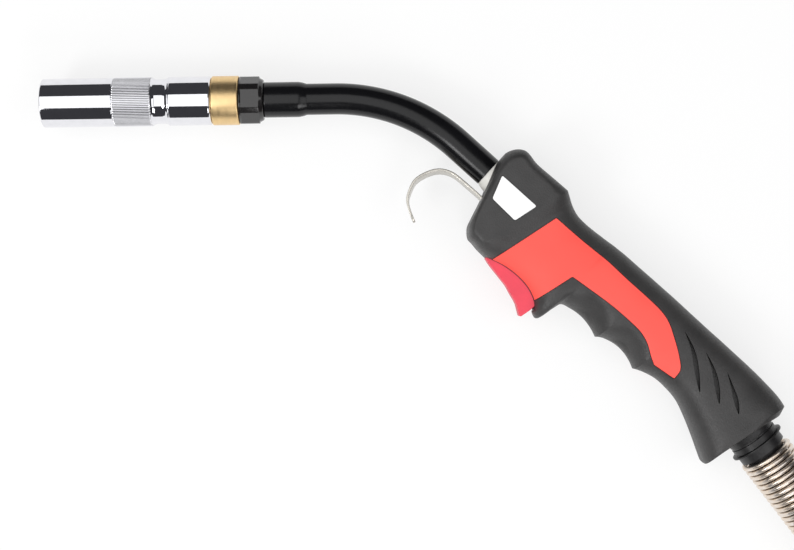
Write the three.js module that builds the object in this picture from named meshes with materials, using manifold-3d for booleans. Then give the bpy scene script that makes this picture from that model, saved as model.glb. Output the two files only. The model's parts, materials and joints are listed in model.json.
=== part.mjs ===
// MIG welding torch with its cable, coiled for storage, and its feeder connector.
//
// Millimetres, +Z up. The torch lies on its right side, as on a bench, nozzle to the left. The origin is
// on the flat of the right handle half that touches the bench. Inside the handle group, x runs towards
// the cable, y towards the back of the hand and z across the torch, with z = 0 on the split of the halves.

import * as THREE from 'three';
import { mergeVertices } from 'three/addons/utils/BufferGeometryUtils.js';
import Module from 'manifold-3d';

const wasm = await Module();
wasm.setup();

// ---------------------------------------------------------------- driving dimensions

const FIT = 0.3; // clearance between neighbouring pieces
const DEGREE = Math.PI / 180;
const ROUND = 20; // sides of the large turned pieces
const SMALL_ROUND = 12; // sides of the small turned pieces
const PIN_ROUND = 8; // sides of screws, pins and their holes

// Handle
const HEAD_WIDTH = 44; // over the two flats of the head
const GRIP_WIDTH = 35;
const REAR_WIDTH = 44;
const WALL = 3.2;
const HANDLE_SLOPE = 45; // degrees that the handle falls to the right
const INLAY_THICKNESS = 1.6;
const LABEL_THICKNESS = 0.5;

// Neck, measured forwards from the handle
const NECK_ENTRY = [-24.8, 0.4]; // where the neck's centreline meets the handle
const NECK_TILT = 3; // degrees between the neck and the handle
const NECK_REAR_STRAIGHT = 21.8;
const NECK_BEND_RADIUS = 97;
const NECK_BEND = 42.9; // degrees
const NECK_FRONT_STRAIGHT = 14.9; // from the bend to the end sleeve
const NECK_DIAMETER = 16.8;
const CONDUCTOR_DIAMETER = 12.8;
const CONDUCTOR_BORE = 7.2;
const LINER_DIAMETER = 3.2;
const SLEEVE_DIAMETER = 19;
const SLEEVE_LENGTH = 18.8;
const SLEEVE_TAPER = 4;
const BUSH_LENGTH = 5;
const BUSH_DEPTH = 12; // length of the bush inside the handle

// Nozzle and what it holds
const NOZZLE_DIAMETER = 26.2;
const NOZZLE_LENGTH = 91.2;
const NOZZLE_BORE = 20;
const KNURL_START = 38.2;
const KNURL_LENGTH = 21;
const KNURL_HEIGHT = 0.25;
const NOZZLE_GROOVE_LENGTH = 8.9;
const NOZZLE_GROOVE_DEPTH = 1.1;
const NOZZLE_SOCKET_DEPTH = 23.5; // of the wider rear bore
const SEAT_SPIGOT_DIAMETER = 22;
const SEAT_RING_LENGTH = 14.3;
const SEAT_RING_DIAMETER = 26.4;
const INSULATOR_DIAMETER = 25.4;
const INSULATOR_FLATS = 23.6; // across the spanner flats
const INSULATOR_LENGTH = 13;
const INSULATOR_SPIGOT_DIAMETER = 18;
const TIP_DIAMETER = 8;
const TIP_SETBACK = 3; // from the nozzle's mouth
const TIP_THREAD_DIAMETER = 6;
const TIP_THREAD_LENGTH = 9;
const TIP_BORE = 1.6;
const HOLDER_DIAMETER = 12.8;
const HOLDER_LENGTH = 32;
const HOLDER_SPIGOT_LENGTH = 8;
const DIFFUSER_LENGTH = 12;
const DIFFUSER_HOLES = 8;
const DIFFUSER_HOLE = 1.6;

// Trigger and switch, in handle coordinates
const PIVOT = [11.5, -25];
const PIVOT_PIN_DIAMETER = 3;
const PIVOT_PIN_LENGTH = 21.6;
const TRIGGER_EYE_DIAMETER = 7.2;
const TRIGGER_WIDTH = 15.4;
const TRIGGER_INNER = -26.5; // height of the face that pushes the switch
const TRIGGER_SPRING_WIRE = 0.7;
const TRIGGER_SPRING_PITCH = 1.15;
const TRIGGER_SPRING_CURLS = 3;
const SWITCH_LENGTH = 20;
const SWITCH_HEIGHT = 10;
const SWITCH_WIDTH = 6.4;
const SWITCH_FRONT = 15;
const SWITCH_LIFT = 5.8; // from the trigger's inner face to the switch
const SWITCH_HOLE = 3;
const SWITCH_HOLE_INSET = 4.5; // of the mounting holes from the switch's ends
const SWITCH_LEAD_DIAMETER = 3;
const PLUNGER_DIAMETER = 3;
const PLUNGER_PLACE = 24;
const PLUNGER_LENGTH = 8;
const PLUNGER_TRAVEL = 2.4;

// Clamp block, coupling and hook
const CLAMP_START = 33; // behind the neck's entry
const CLAMP_LENGTH = 25;
const CLAMP_HEIGHT = 20;
const CLAMP_WIDTH = 16;
const COUPLING_LENGTH = 26;
const COUPLING_DIAMETER = 18;
const COUPLING_END_DIAMETER = 12; // narrow, to let the switch lead into the cable
const HOOK_THICKNESS = 1.3;
const HOOK_WIDTH = 11;
const HOOK_PITCH = -7.5; // degrees; the bend lies lower than the shank
const HOOK_ROLL = -3.4; // degrees about the shank
const SCREW_DIAMETER = 3;
const SCREW_HEAD_DIAMETER = 5.6;
const SCREW_HEAD_HEIGHT = 2.4;
const SCREW_SEAT = 12; // from the split to the underside of the head
const SCREW_REACH = 9; // beyond the split, into the other half
const BOSS_DIAMETER = 8;
const SET_SCREW_DIAMETER = 5;
const SET_SCREW_LENGTH = 3;
const RIB_THICKNESS = 3;

// Cable, collar and spring guard
const CABLE_DIAMETER = 19;
const REAR_CENTRE = [180.3, -0.1]; // centre of the collar's flange
const REAR_TILT = -7.5; // degrees between the cable and the handle
const COLLAR_DIAMETER = 26.7;
const COLLAR_FLANGE_DIAMETER = 30.6;
const COLLAR_FLANGE_THICKNESS = 1.3;
const COLLAR_RING_LENGTH = 4.8;
const COLLAR_RING_DIAMETER = 26.4;
const COLLAR_DEPTH = 17; // in front of the flange
const COLLAR_INNER_FLANGE = 2.5;
const GUARD_WIRE = 2.6;
const GUARD_DIAMETER = 29.5;
const GUARD_PITCH = 3.08;
const GUARD_CURLS = 38;
const GUARD_SPIGOT_LENGTH = 8;

// Coil of the free cable
const COIL_OUTER_RADIUS = 134; // of the cable's centreline
const COIL_PITCH = 20;
const COIL_LIFT = 11; // centre of the lower layer above the bench
const COIL_LAYER = 19.6;
const COIL_FIRST_TURNS = 2.1; // before the spiral turns back outwards
const COIL_TURNS = 3.46;
const COIL_SETTLE = 70; // degrees in which the cable comes down to the lower layer
const LEAD_LENGTH = 45;
const TIE_WIDTH = 8;
const TIE_THICKNESS = 0.9;

// Connector at the far end, along its own axis from the cable inlet
const PLUG_BOOT_LENGTH = 34;
const PLUG_BOOT_DIAMETER = 25;
const PLUG_HOUSING_START = 22;
const PLUG_HOUSING_LENGTH = 62;
const PLUG_HOUSING_DIAMETER = 46;
const PLUG_HOUSING_WALL = 3;
const PLUG_BODY_DIAMETER = 20;
const PLUG_FLANGE_DIAMETER = 36;
const PLUG_FLANGE_LENGTH = 5;
const PLUG_LIP_LENGTH = 8.6; // of the housing, round the insulator
const PLUG_SPOOL_DIAMETER = 30.4; // of the insulator
const PLUG_SPOOL_FLANGE_DIAMETER = 35;
const PLUG_SPOOL_FLANGE_LENGTH = 3.4;
const PLUG_WEB_THICKNESS = 3; // of the nut's rear wall
const PLUG_NUT_LENGTH = 26;
const PLUG_NUT_DIAMETER = 43;
const PLUG_NUT_WALL = 2.6;
const GAS_TUBE_DIAMETER = 10;
const GAS_TUBE_LENGTH = 22;
const GAS_TUBE_BORE = 4;
const O_RING_SECTION = 1.6;
const CONTACT_PIN_DIAMETER = 3;
const CONTACT_PIN_LENGTH = 14;
const CONTACT_PIN_RADIUS = 12.6; // of the circle that the pins stand on
const CONTACT_PIN_TRAVEL = 3;

// ---------------------------------------------------------------- helpers

// Welds a geometry to shared corners, drops its flat triangles and turns it outwards.
function weld(geometry) {
  geometry.deleteAttribute('normal');
  geometry.deleteAttribute('uv');
  const merged = mergeVertices(geometry, 1e-4);
  const index = [];
  const corners = merged.index.array;
  for (let i = 0; i < corners.length; i += 3) {
    const [a, b, c] = corners.slice(i, i + 3);
    if (a !== b && b !== c && c !== a) {
      index.push(a, b, c);
    }
  }
  const place = merged.attributes.position;
  const a = new THREE.Vector3();
  const b = new THREE.Vector3();
  const c = new THREE.Vector3();
  let volume = 0;
  for (let i = 0; i < index.length; i += 3) {
    a.fromBufferAttribute(place, index[i]);
    b.fromBufferAttribute(place, index[i + 1]);
    c.fromBufferAttribute(place, index[i + 2]);
    volume += a.dot(b.cross(c));
  }
  if (volume < 0) {
    index.reverse();
  }
  merged.setIndex(index);
  return merged;
}

function solid(geometry) {
  const welded = weld(geometry);
  return new wasm.Manifold(new wasm.Mesh({
    numProp: 3,
    vertProperties: new Float32Array(welded.attributes.position.array),
    triVerts: new Uint32Array(welded.index.array),
  }));
}

function geometryOf(body) {
  const mesh = body.getMesh();
  const geometry = new THREE.BufferGeometry();
  geometry.setAttribute('position', new THREE.Float32BufferAttribute(mesh.vertProperties, 3));
  geometry.setIndex([...mesh.triVerts]);
  return geometry;
}

const join = (first, ...rest) => rest.reduce((whole, part) => whole.add(part), first);
const cut = (first, ...rest) => rest.reduce((whole, part) => whole.subtract(part), first);

// A closed skin over a row of rings with equal numbers of points, capped at both ends.
function loft(rings) {
  const count = rings[0].length;
  const places = rings.flat().flatMap((point) => [point.x, point.y, point.z]);
  const index = [];
  for (let row = 0; row + 1 < rings.length; row += 1) {
    for (let k = 0; k < count; k += 1) {
      const a = row * count + k;
      const b = row * count + (k + 1) % count;
      index.push(a, b, b + count, a, b + count, a + count);
    }
  }
  const last = (rings.length - 1) * count;
  for (let k = 1; k + 1 < count; k += 1) {
    index.push(0, k + 1, k, last, last + k, last + k + 1);
  }
  const geometry = new THREE.BufferGeometry();
  geometry.setAttribute('position', new THREE.Float32BufferAttribute(places, 3));
  geometry.setIndex(index);
  return geometry;
}

// A ring of points square to a route. The first point lies along `across`, or level with the bench.
function ringAt({ at, along, across }, radius, sides) {
  const side = across ?? new THREE.Vector3(-along.y, along.x, 0).normalize();
  const up = new THREE.Vector3().crossVectors(along, side).normalize();
  return Array.from({ length: sides }, (_, k) => {
    const angle = 2 * Math.PI * (k + 0.5) / sides;
    return at.clone()
      .addScaledVector(side, radius * Math.cos(angle))
      .addScaledVector(up, radius * Math.sin(angle));
  });
}

const rod = (stops, diameter, sides) => loft(stops.map((stop) => ringAt(stop, diameter / 2, sides)));

// A turned piece about the x axis, from pairs of place and radius that close on themselves.
function turned(profile, sides = ROUND) {
  const points = [...profile, profile[0]].map(([x, radius]) => new THREE.Vector2(radius, x));
  return new THREE.LatheGeometry(points, sides).rotateZ(-Math.PI / 2);
}

function cylinder(diameter, start, end, sides = SMALL_ROUND) {
  return turned([[start, 0], [start, diameter / 2], [end, diameter / 2], [end, 0]], sides);
}

function tube(outer, bore, start, end, sides = ROUND) {
  return turned([[start, bore / 2], [start, outer / 2], [end, outer / 2], [end, bore / 2]], sides);
}

function block(low, high) {
  const size = high.map((value, k) => value - low[k]);
  const centre = high.map((value, k) => (value + low[k]) / 2);
  return new THREE.BoxGeometry(...size).translate(...centre);
}

// A flat outline in x and y, drawn out along z.
function plate(points, low, high) {
  const shape = new THREE.Shape(points.map(([x, y]) => new THREE.Vector2(x, y)));
  return new THREE.ExtrudeGeometry(shape, { depth: high - low, bevelEnabled: false }).translate(0, 0, low);
}

// The outline moved outwards by a distance; its corners run anticlockwise.
function grown(points, distance) {
  return points.map(([x, y], k) => {
    const [px, py] = points[(k + points.length - 1) % points.length];
    const [nx, ny] = points[(k + 1) % points.length];
    const before = new THREE.Vector2(y - py, px - x).normalize();
    const after = new THREE.Vector2(ny - y, x - nx).normalize();
    const corner = before.add(after);
    corner.multiplyScalar(2 * distance / corner.lengthSq());
    return [x + corner.x, y + corner.y];
  });
}

const FINISHES = {
  chrome: { color: 0xd8d8dc, roughness: 0.08, metalness: 1 },
  steel: { color: 0xb9b6ae, roughness: 0.35, metalness: 1 },
  nickel: { color: 0xcfc6b8, roughness: 0.25, metalness: 1 },
  brass: { color: 0xd1a15a, roughness: 0.3, metalness: 1 },
  copper: { color: 0xb8734a, roughness: 0.35, metalness: 1 },
  gloss_black: { color: 0x101012, roughness: 0.15, metalness: 0 },
  handle_black: { color: 0x26262a, roughness: 0.6, metalness: 0 },
  black_plastic: { color: 0x1b1b1d, roughness: 0.45, metalness: 0 },
  red_inlay: { color: 0xf85f58, roughness: 0.6, metalness: 0 },
  red_trigger: { color: 0xe85064, roughness: 0.5, metalness: 0 },
  white_plate: { color: 0xf2f2f0, roughness: 0.4, metalness: 0 },
  white_nylon: { color: 0xe9e7e0, roughness: 0.5, metalness: 0 },
  cable_rubber: { color: 0x1a1a1b, roughness: 0.7, metalness: 0 },
  grey_plastic: { color: 0x5a5d61, roughness: 0.5, metalness: 0 },
  ceramic: { color: 0xe6ddcb, roughness: 0.7, metalness: 0 },
};

// The outline of a strip of even width along a line of points.
function strip(points, width) {
  const unit = (from, to) => new THREE.Vector2(to[0] - from[0], to[1] - from[1]).normalize();
  const edges = points.map((point, k) => {
    const before = unit(points[Math.max(k - 1, 0)], points[Math.max(k, 1)]);
    const after = unit(points[Math.min(k, points.length - 2)], points[Math.min(k + 1, points.length - 1)]);
    const along = before.add(after);
    along.multiplyScalar(width / along.lengthSq());
    return [[point[0] + along.y, point[1] - along.x], [point[0] - along.y, point[1] + along.x]];
  });
  return [...edges.map(([right]) => right), ...edges.map(([, left]) => left).reverse()];
}

// A round post across the handle, from one height to another.
function post([x, y], diameter, low, high) {
  return cylinder(diameter, low, high, PIN_ROUND).rotateY(-Math.PI / 2).translate(x, y, 0);
}

// Adds a named piece to its group.
function piece(group, name, shape, finish) {
  const geometry = shape.isBufferGeometry ? weld(shape) : geometryOf(shape);
  geometry.computeVertexNormals();
  const mesh = new THREE.Mesh(geometry, new THREE.MeshStandardMaterial(FINISHES[finish]));
  mesh.name = name;
  group.add(mesh);
}

const torch = new THREE.Group();
const SPLIT_HEIGHT = HEAD_WIDTH / 2;

// ---------------------------------------------------------------- handle form

const handle = new THREE.Group();
handle.position.z = SPLIT_HEIGHT;
handle.rotation.z = -HANDLE_SLOPE * DEGREE;
torch.add(handle);

// Sections of the handle from the front face to the rear face. Each runs from a point on the belly to a
// point on the back, with the width across and the squareness of the section.
const HEAD_SWELL = HEAD_WIDTH + 3.2; // cut back to the two flats
const SECTIONS = [
  { belly: [-12.4, -24.0], back: [-25.2, 7.0], width: 25, square: 3.4 }, // front face
  { belly: [-11.6, -28.8], back: [-25.3, 13.5], width: 36, square: 4 },
  { belly: [-7.2, -32.9], back: [-19.0, 21.7], width: HEAD_SWELL - 1, square: 8 },
  { belly: [-4.0, -33.4], back: [-9.0, 20.6], width: HEAD_SWELL, square: 8 },
  { belly: [-1.5, -33.7], back: [2.0, 21.2], width: HEAD_SWELL, square: 8 },
  { belly: [0.6, -33.9], back: [12.0, 22.1], width: HEAD_SWELL - 1, square: 7 }, // rear of the flats
  { belly: [6.5, -33.6], back: [18.5, 19.8], width: GRIP_WIDTH + 4, square: 3.6 },
  { belly: [12.5, -31.8], back: [25.0, 17.8], width: GRIP_WIDTH + 1.5, square: 3 },
  { belly: [20.0, -30.2], back: [31.0, 17.5], width: GRIP_WIDTH, square: 2.8 },
  { belly: [28.0, -29.6], back: [37.5, 18.0], width: GRIP_WIDTH, square: 2.8 },
  { belly: [35.0, -30.4], back: [42.0, 18.6], width: GRIP_WIDTH, square: 2.8 },
  { belly: [41.5, -33.0], back: [45.0, 19.0], width: GRIP_WIDTH, square: 2.8 },
  { belly: [46.2, -36.8], back: [47.0, 19.3], width: GRIP_WIDTH, square: 2.8 }, // lip behind the trigger
  { belly: [49.4, -37.2], back: [48.8, 19.6], width: GRIP_WIDTH, square: 2.8 },
  { belly: [51.4, -28.4], back: [50.8, 19.9], width: GRIP_WIDTH, square: 2.8 },
  { belly: [53.0, -22.8], back: [53.4, 20.2], width: GRIP_WIDTH, square: 2.7 },
  { belly: [58.5, -20.4], back: [59.0, 20.8], width: GRIP_WIDTH, square: 2.6 },
  { belly: [67.5, -19.2], back: [68.0, 21.4], width: GRIP_WIDTH, square: 2.5 },
  { belly: [79.0, -21.6], back: [79.5, 22.2], width: GRIP_WIDTH, square: 2.5 }, // ridge between fingers
  { belly: [83.0, -18.9], back: [83.5, 22.4], width: GRIP_WIDTH, square: 2.5 },
  { belly: [93.0, -16.6], back: [93.5, 23.0], width: GRIP_WIDTH, square: 2.5 },
  { belly: [105.5, -19.4], back: [106.0, 23.5], width: GRIP_WIDTH + 0.5, square: 2.5 }, // second ridge
  { belly: [109.5, -17.3], back: [110.0, 23.7], width: GRIP_WIDTH + 0.8, square: 2.5 },
  { belly: [117.5, -14.7], back: [118.0, 24.0], width: GRIP_WIDTH + 1.4, square: 2.5 },
  { belly: [126.0, -14.2], back: [127.0, 24.5], width: GRIP_WIDTH + 2.4, square: 2.5 },
  { belly: [134.5, -15.0], back: [137.0, 24.9], width: REAR_WIDTH - 5.2, square: 2.6 },
  { belly: [144.0, -18.2], back: [148.0, 25.3], width: REAR_WIDTH - 3.2, square: 2.7 },
  { belly: [154.0, -22.5], back: [158.0, 25.4], width: REAR_WIDTH - 1.2, square: 2.7 },
  { belly: [162.5, -26.3], back: [170.0, 24.8], width: REAR_WIDTH + 0.6, square: 3 }, // end of the cavity
  { belly: [165.8, -27.5], back: [175.5, 23.4], width: REAR_WIDTH + 0.6, square: 3 },
  { belly: [168.2, -26.6], back: [178.0, 17.6], width: REAR_WIDTH - 0.8, square: 3 }, // rear face
];
const SECTION_POINTS = 14;
const INNER_POINTS = 8; // of a section inside the walls

// One section as a ring, drawn in by an inset on every side.
function sectionRing({ belly, back, width, square }, inset, count) {
  const low = new THREE.Vector3(...belly, 0);
  const high = new THREE.Vector3(...back, 0);
  const centre = low.clone().lerp(high, 0.5);
  const reach = high.clone().sub(centre);
  reach.setLength(reach.length() - inset);
  return Array.from({ length: count }, (_, k) => {
    const angle = 2 * Math.PI * k / count;
    const bend = (value) => Math.sign(value) * Math.abs(value) ** (2 / square);
    const point = centre.clone().addScaledVector(reach, bend(Math.cos(angle)));
    point.z = (width / 2 - inset) * bend(Math.sin(angle));
    return point;
  });
}

function handleForm(inset, sections, count = SECTION_POINTS) {
  return solid(loft(sections.map((section) => sectionRing(section, inset, count))));
}

const FAR = 400; // beyond the torch on every side
const flats = (inset) => solid(block([-FAR, -FAR, inset - HEAD_WIDTH / 2], [FAR, FAR, HEAD_WIDTH / 2 - inset]));
const outer = handleForm(0, SECTIONS).intersect(flats(0));
const cavity = handleForm(WALL, SECTIONS.slice(2, -2), INNER_POINTS).intersect(flats(WALL));
const core = handleForm(WALL / 2, SECTIONS, INNER_POINTS).intersect(flats(WALL / 2));

// ---------------------------------------------------------------- neck and its line

const neck = new THREE.Group();
neck.position.set(...NECK_ENTRY, 0);
neck.rotation.z = NECK_TILT * DEGREE;
handle.add(neck);

const NECK_ARC = NECK_BEND_RADIUS * NECK_BEND * DEGREE;
const BEND_STEPS = 6;

// A place on the neck's centreline, by its distance in front of the handle.
function neckStop(distance) {
  const turn = THREE.MathUtils.clamp((distance - NECK_REAR_STRAIGHT) / NECK_BEND_RADIUS, 0, NECK_BEND * DEGREE);
  const before = Math.min(distance, NECK_REAR_STRAIGHT);
  const after = Math.max(distance - NECK_REAR_STRAIGHT - NECK_ARC, 0);
  const at = new THREE.Vector3(
    -before - NECK_BEND_RADIUS * Math.sin(turn) - after * Math.cos(turn),
    -NECK_BEND_RADIUS * (1 - Math.cos(turn)) - after * Math.sin(turn),
    0,
  );
  return { at, along: new THREE.Vector3(-Math.cos(turn), -Math.sin(turn), 0) };
}

// A round bar along the neck, between two distances in front of the handle.
function neckRod(diameter, from, to, sides) {
  const bend = Array.from({ length: BEND_STEPS + 1 }, (_, k) => NECK_REAR_STRAIGHT + NECK_ARC * k / BEND_STEPS);
  const distances = [from, ...bend.filter((distance) => distance > from && distance < to), to];
  return solid(rod(distances.map(neckStop), diameter, sides));
}

// Places along the nozzle's axis, from its mouth.
const SOCKET_START = NOZZLE_LENGTH - NOZZLE_SOCKET_DEPTH;
const RING_START = NOZZLE_LENGTH + FIT;
const RING_END = RING_START + SEAT_RING_LENGTH;
const FLANGE_START = RING_END + FIT;
const FLANGE_END = FLANGE_START + INSULATOR_LENGTH;
const SLEEVE_START = FLANGE_END + FIT;
const SLEEVE_END = SLEEVE_START + SLEEVE_LENGTH + SLEEVE_TAPER;
const INSULATION_START = SLEEVE_END + FIT;
const MOUTH_DISTANCE = NECK_REAR_STRAIGHT + NECK_ARC + NECK_FRONT_STRAIGHT + INSULATION_START;
const HOLDER_END = SOCKET_START; // the holder and the gas diffuser follow the nozzle's wider bore
const TIP_SHOULDER = HOLDER_END - HOLDER_LENGTH;
const CLAMP_END = CLAMP_START + CLAMP_LENGTH;
const COUPLING_START = CLAMP_END + FIT;
const COUPLING_END = COUPLING_START + COUPLING_LENGTH;
const INNER_BORE = CONDUCTOR_DIAMETER + 2 * FIT; // of all that slides over the conductor tube
const LINER_BORE = LINER_DIAMETER + 2 * FIT;

const conductor = cut(
  neckRod(CONDUCTOR_DIAMETER, -CLAMP_END, MOUTH_DISTANCE - HOLDER_END - FIT, SMALL_ROUND),
  neckRod(CONDUCTOR_BORE, -CLAMP_END - 1, MOUTH_DISTANCE - HOLDER_END + 1, SMALL_ROUND),
);
piece(neck, 'neck_conductor_tube', conductor, 'copper');

const insulation = cut(
  neckRod(NECK_DIAMETER, 0, MOUTH_DISTANCE - INSULATION_START, ROUND),
  neckRod(INNER_BORE, -1, MOUTH_DISTANCE - INSULATION_START + 1, SMALL_ROUND),
);
piece(neck, 'neck_insulation', insulation, 'gloss_black');

const LINER_START = TIP_SHOULDER + TIP_THREAD_LENGTH + 2 * FIT;
piece(neck, 'wire_liner', neckRod(LINER_DIAMETER, -COUPLING_END + 4, MOUTH_DISTANCE - LINER_START, 8), 'steel');

const BUSH_DIAMETER = NECK_DIAMETER + 1.5;
const BUSH_END = BUSH_LENGTH + BUSH_DEPTH;
piece(neck, 'neck_entry_bush', turned([
  [FIT, INNER_BORE / 2],
  [FIT, NECK_DIAMETER / 2 - 0.4],
  [BUSH_LENGTH - 1, BUSH_DIAMETER / 2],
  [BUSH_END, BUSH_DIAMETER / 2],
  [BUSH_END, INNER_BORE / 2],
]), 'white_nylon');

// Clamp block that holds the conductor, with two set screws, and the coupling to the cable.
const setScrewPlaces = [0.28, 0.72].map((share) => CLAMP_START + share * CLAMP_LENGTH);
const clampLow = [CLAMP_START, -CLAMP_HEIGHT / 2, -CLAMP_WIDTH / 2];
const clampHigh = [CLAMP_END, CLAMP_HEIGHT / 2, CLAMP_WIDTH / 2];
const upright = (diameter, low, high, x) => cylinder(diameter, low, high).rotateZ(Math.PI / 2).translate(x, 0, 0);
const clampBlock = cut(
  solid(block(clampLow, clampHigh)),
  solid(cylinder(INNER_BORE, CLAMP_START - 1, CLAMP_END + 1)),
  ...setScrewPlaces.map((x) => solid(upright(SET_SCREW_DIAMETER + 2 * FIT, 0, CLAMP_HEIGHT, x))),
);
piece(neck, 'neck_clamp_block', clampBlock, 'brass');
setScrewPlaces.forEach((x, k) => {
  const foot = CONDUCTOR_DIAMETER / 2 + FIT;
  const screw = upright(SET_SCREW_DIAMETER, foot, foot + SET_SCREW_LENGTH, x);
  piece(neck, `clamp_screw_${k + 1}`, screw, 'steel');
});
piece(neck, 'cable_coupling', turned([
  [COUPLING_START, LINER_BORE / 2],
  [COUPLING_START, COUPLING_DIAMETER / 2],
  [COUPLING_START + COUPLING_LENGTH / 2, COUPLING_DIAMETER / 2],
  [COUPLING_START + COUPLING_LENGTH / 2 + 1, COUPLING_END_DIAMETER / 2],
  [COUPLING_END, COUPLING_END_DIAMETER / 2],
  [COUPLING_END, LINER_BORE / 2],
], SMALL_ROUND), 'brass');

// ---------------------------------------------------------------- nozzle end

const front = new THREE.Group();
const mouth = neckStop(MOUTH_DISTANCE);
front.position.copy(mouth.at);
front.rotation.z = NECK_BEND * DEGREE;
neck.add(front);

const NOZZLE_RADIUS = NOZZLE_DIAMETER / 2;
const KNURL_END = KNURL_START + KNURL_LENGTH;
const GROOVE_END = KNURL_END + NOZZLE_GROOVE_LENGTH;
const GROOVE_RADIUS = NOZZLE_RADIUS - NOZZLE_GROOVE_DEPTH;
piece(front, 'gas_nozzle', turned([
  [0, NOZZLE_BORE / 2],
  [0, NOZZLE_RADIUS - 0.6],
  [0.6, NOZZLE_RADIUS],
  [KNURL_START, NOZZLE_RADIUS],
  [KNURL_START + KNURL_HEIGHT, NOZZLE_RADIUS + KNURL_HEIGHT],
  [KNURL_END - KNURL_HEIGHT, NOZZLE_RADIUS + KNURL_HEIGHT],
  [KNURL_END + 1.5, GROOVE_RADIUS],
  [GROOVE_END - 1.5, GROOVE_RADIUS],
  [GROOVE_END, NOZZLE_RADIUS],
  [NOZZLE_LENGTH - 1, NOZZLE_RADIUS],
  [NOZZLE_LENGTH, NOZZLE_RADIUS - 0.7],
  [NOZZLE_LENGTH, SEAT_SPIGOT_DIAMETER / 2 + FIT],
  [SOCKET_START, SEAT_SPIGOT_DIAMETER / 2 + FIT],
  [SOCKET_START, NOZZLE_BORE / 2],
]), 'chrome');

const SPIGOT_BORE = INSULATOR_SPIGOT_DIAMETER / 2 + FIT;
piece(front, 'nozzle_seat_ring', turned([
  [SOCKET_START + FIT, SPIGOT_BORE],
  [SOCKET_START + FIT, SEAT_SPIGOT_DIAMETER / 2],
  [RING_START, SEAT_SPIGOT_DIAMETER / 2],
  [RING_START, SEAT_RING_DIAMETER / 2 - 0.5],
  [RING_START + 0.5, SEAT_RING_DIAMETER / 2],
  [RING_END - 0.5, SEAT_RING_DIAMETER / 2],
  [RING_END, SEAT_RING_DIAMETER / 2 - 0.5],
  [RING_END, SPIGOT_BORE],
]), 'brass');

const insulatorTurning = solid(turned([
  [SOCKET_START + 6, INNER_BORE / 2],
  [SOCKET_START + 6, INSULATOR_SPIGOT_DIAMETER / 2],
  [FLANGE_START, INSULATOR_SPIGOT_DIAMETER / 2],
  [FLANGE_START, INSULATOR_DIAMETER / 2],
  [FLANGE_END - 1, INSULATOR_DIAMETER / 2],
  [FLANGE_END, INSULATOR_DIAMETER / 2 - 1.2],
  [FLANGE_END, INNER_BORE / 2],
]));
const hexagon = turned([
  [0, 0],
  [0, INSULATOR_FLATS / 2 / Math.cos(Math.PI / 6)],
  [FLANGE_END + 1, INSULATOR_FLATS / 2 / Math.cos(Math.PI / 6)],
  [FLANGE_END + 1, 0],
], 6).rotateX(Math.PI / 6);
piece(front, 'hex_insulator', insulatorTurning.intersect(solid(hexagon)), 'gloss_black');

piece(front, 'neck_end_sleeve', turned([
  [SLEEVE_START, INNER_BORE / 2],
  [SLEEVE_START, SLEEVE_DIAMETER / 2],
  [SLEEVE_START + SLEEVE_LENGTH, SLEEVE_DIAMETER / 2],
  [SLEEVE_END, NECK_DIAMETER / 2],
  [SLEEVE_END, INNER_BORE / 2],
]), 'gloss_black');

piece(front, 'contact_tip', turned([
  [TIP_SETBACK, TIP_BORE / 2],
  [TIP_SETBACK, TIP_DIAMETER / 4],
  [TIP_SETBACK + 2, TIP_DIAMETER / 2 - 0.4],
  [TIP_SETBACK + 5, TIP_DIAMETER / 2],
  [TIP_SHOULDER - FIT, TIP_DIAMETER / 2],
  [TIP_SHOULDER - FIT, TIP_THREAD_DIAMETER / 2],
  [TIP_SHOULDER + TIP_THREAD_LENGTH, TIP_THREAD_DIAMETER / 2],
  [TIP_SHOULDER + TIP_THREAD_LENGTH, TIP_BORE / 2],
], SMALL_ROUND), 'copper');

const SPIGOT_RADIUS = CONDUCTOR_BORE / 2 - FIT;
piece(front, 'tip_holder', turned([
  [TIP_SHOULDER, TIP_THREAD_DIAMETER / 2 + FIT],
  [TIP_SHOULDER, HOLDER_DIAMETER / 2 - 1],
  [TIP_SHOULDER + 1, HOLDER_DIAMETER / 2],
  [HOLDER_END, HOLDER_DIAMETER / 2],
  [HOLDER_END, SPIGOT_RADIUS],
  [HOLDER_END + HOLDER_SPIGOT_LENGTH, SPIGOT_RADIUS],
  [HOLDER_END + HOLDER_SPIGOT_LENGTH, LINER_BORE / 2],
  [TIP_SHOULDER + TIP_THREAD_LENGTH + FIT, LINER_BORE / 2],
  [TIP_SHOULDER + TIP_THREAD_LENGTH + FIT, TIP_THREAD_DIAMETER / 2 + FIT],
], SMALL_ROUND), 'brass');

const DIFFUSER_START = HOLDER_END - DIFFUSER_LENGTH - 3;
const diffuserBore = HOLDER_DIAMETER + 2 * FIT;
const diffuserDiameter = NOZZLE_BORE - 2 * FIT;
const gasHoles = Array.from({ length: DIFFUSER_HOLES }, (_, k) => {
  const hole = cylinder(DIFFUSER_HOLE, DIFFUSER_START - 1, DIFFUSER_START + DIFFUSER_LENGTH + 1, 6);
  return solid(hole.translate(0, (diffuserBore + diffuserDiameter) / 4, 0).rotateX(2 * Math.PI * k / DIFFUSER_HOLES));
});
const diffuserRing = tube(diffuserDiameter, diffuserBore, DIFFUSER_START, DIFFUSER_START + DIFFUSER_LENGTH);
piece(front, 'gas_diffuser', cut(solid(diffuserRing), ...gasHoles), 'ceramic');

// ---------------------------------------------------------------- cable end of the torch

const rear = new THREE.Group();
rear.position.set(...REAR_CENTRE, 0);
rear.rotation.z = REAR_TILT * DEGREE;
handle.add(rear);

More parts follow.
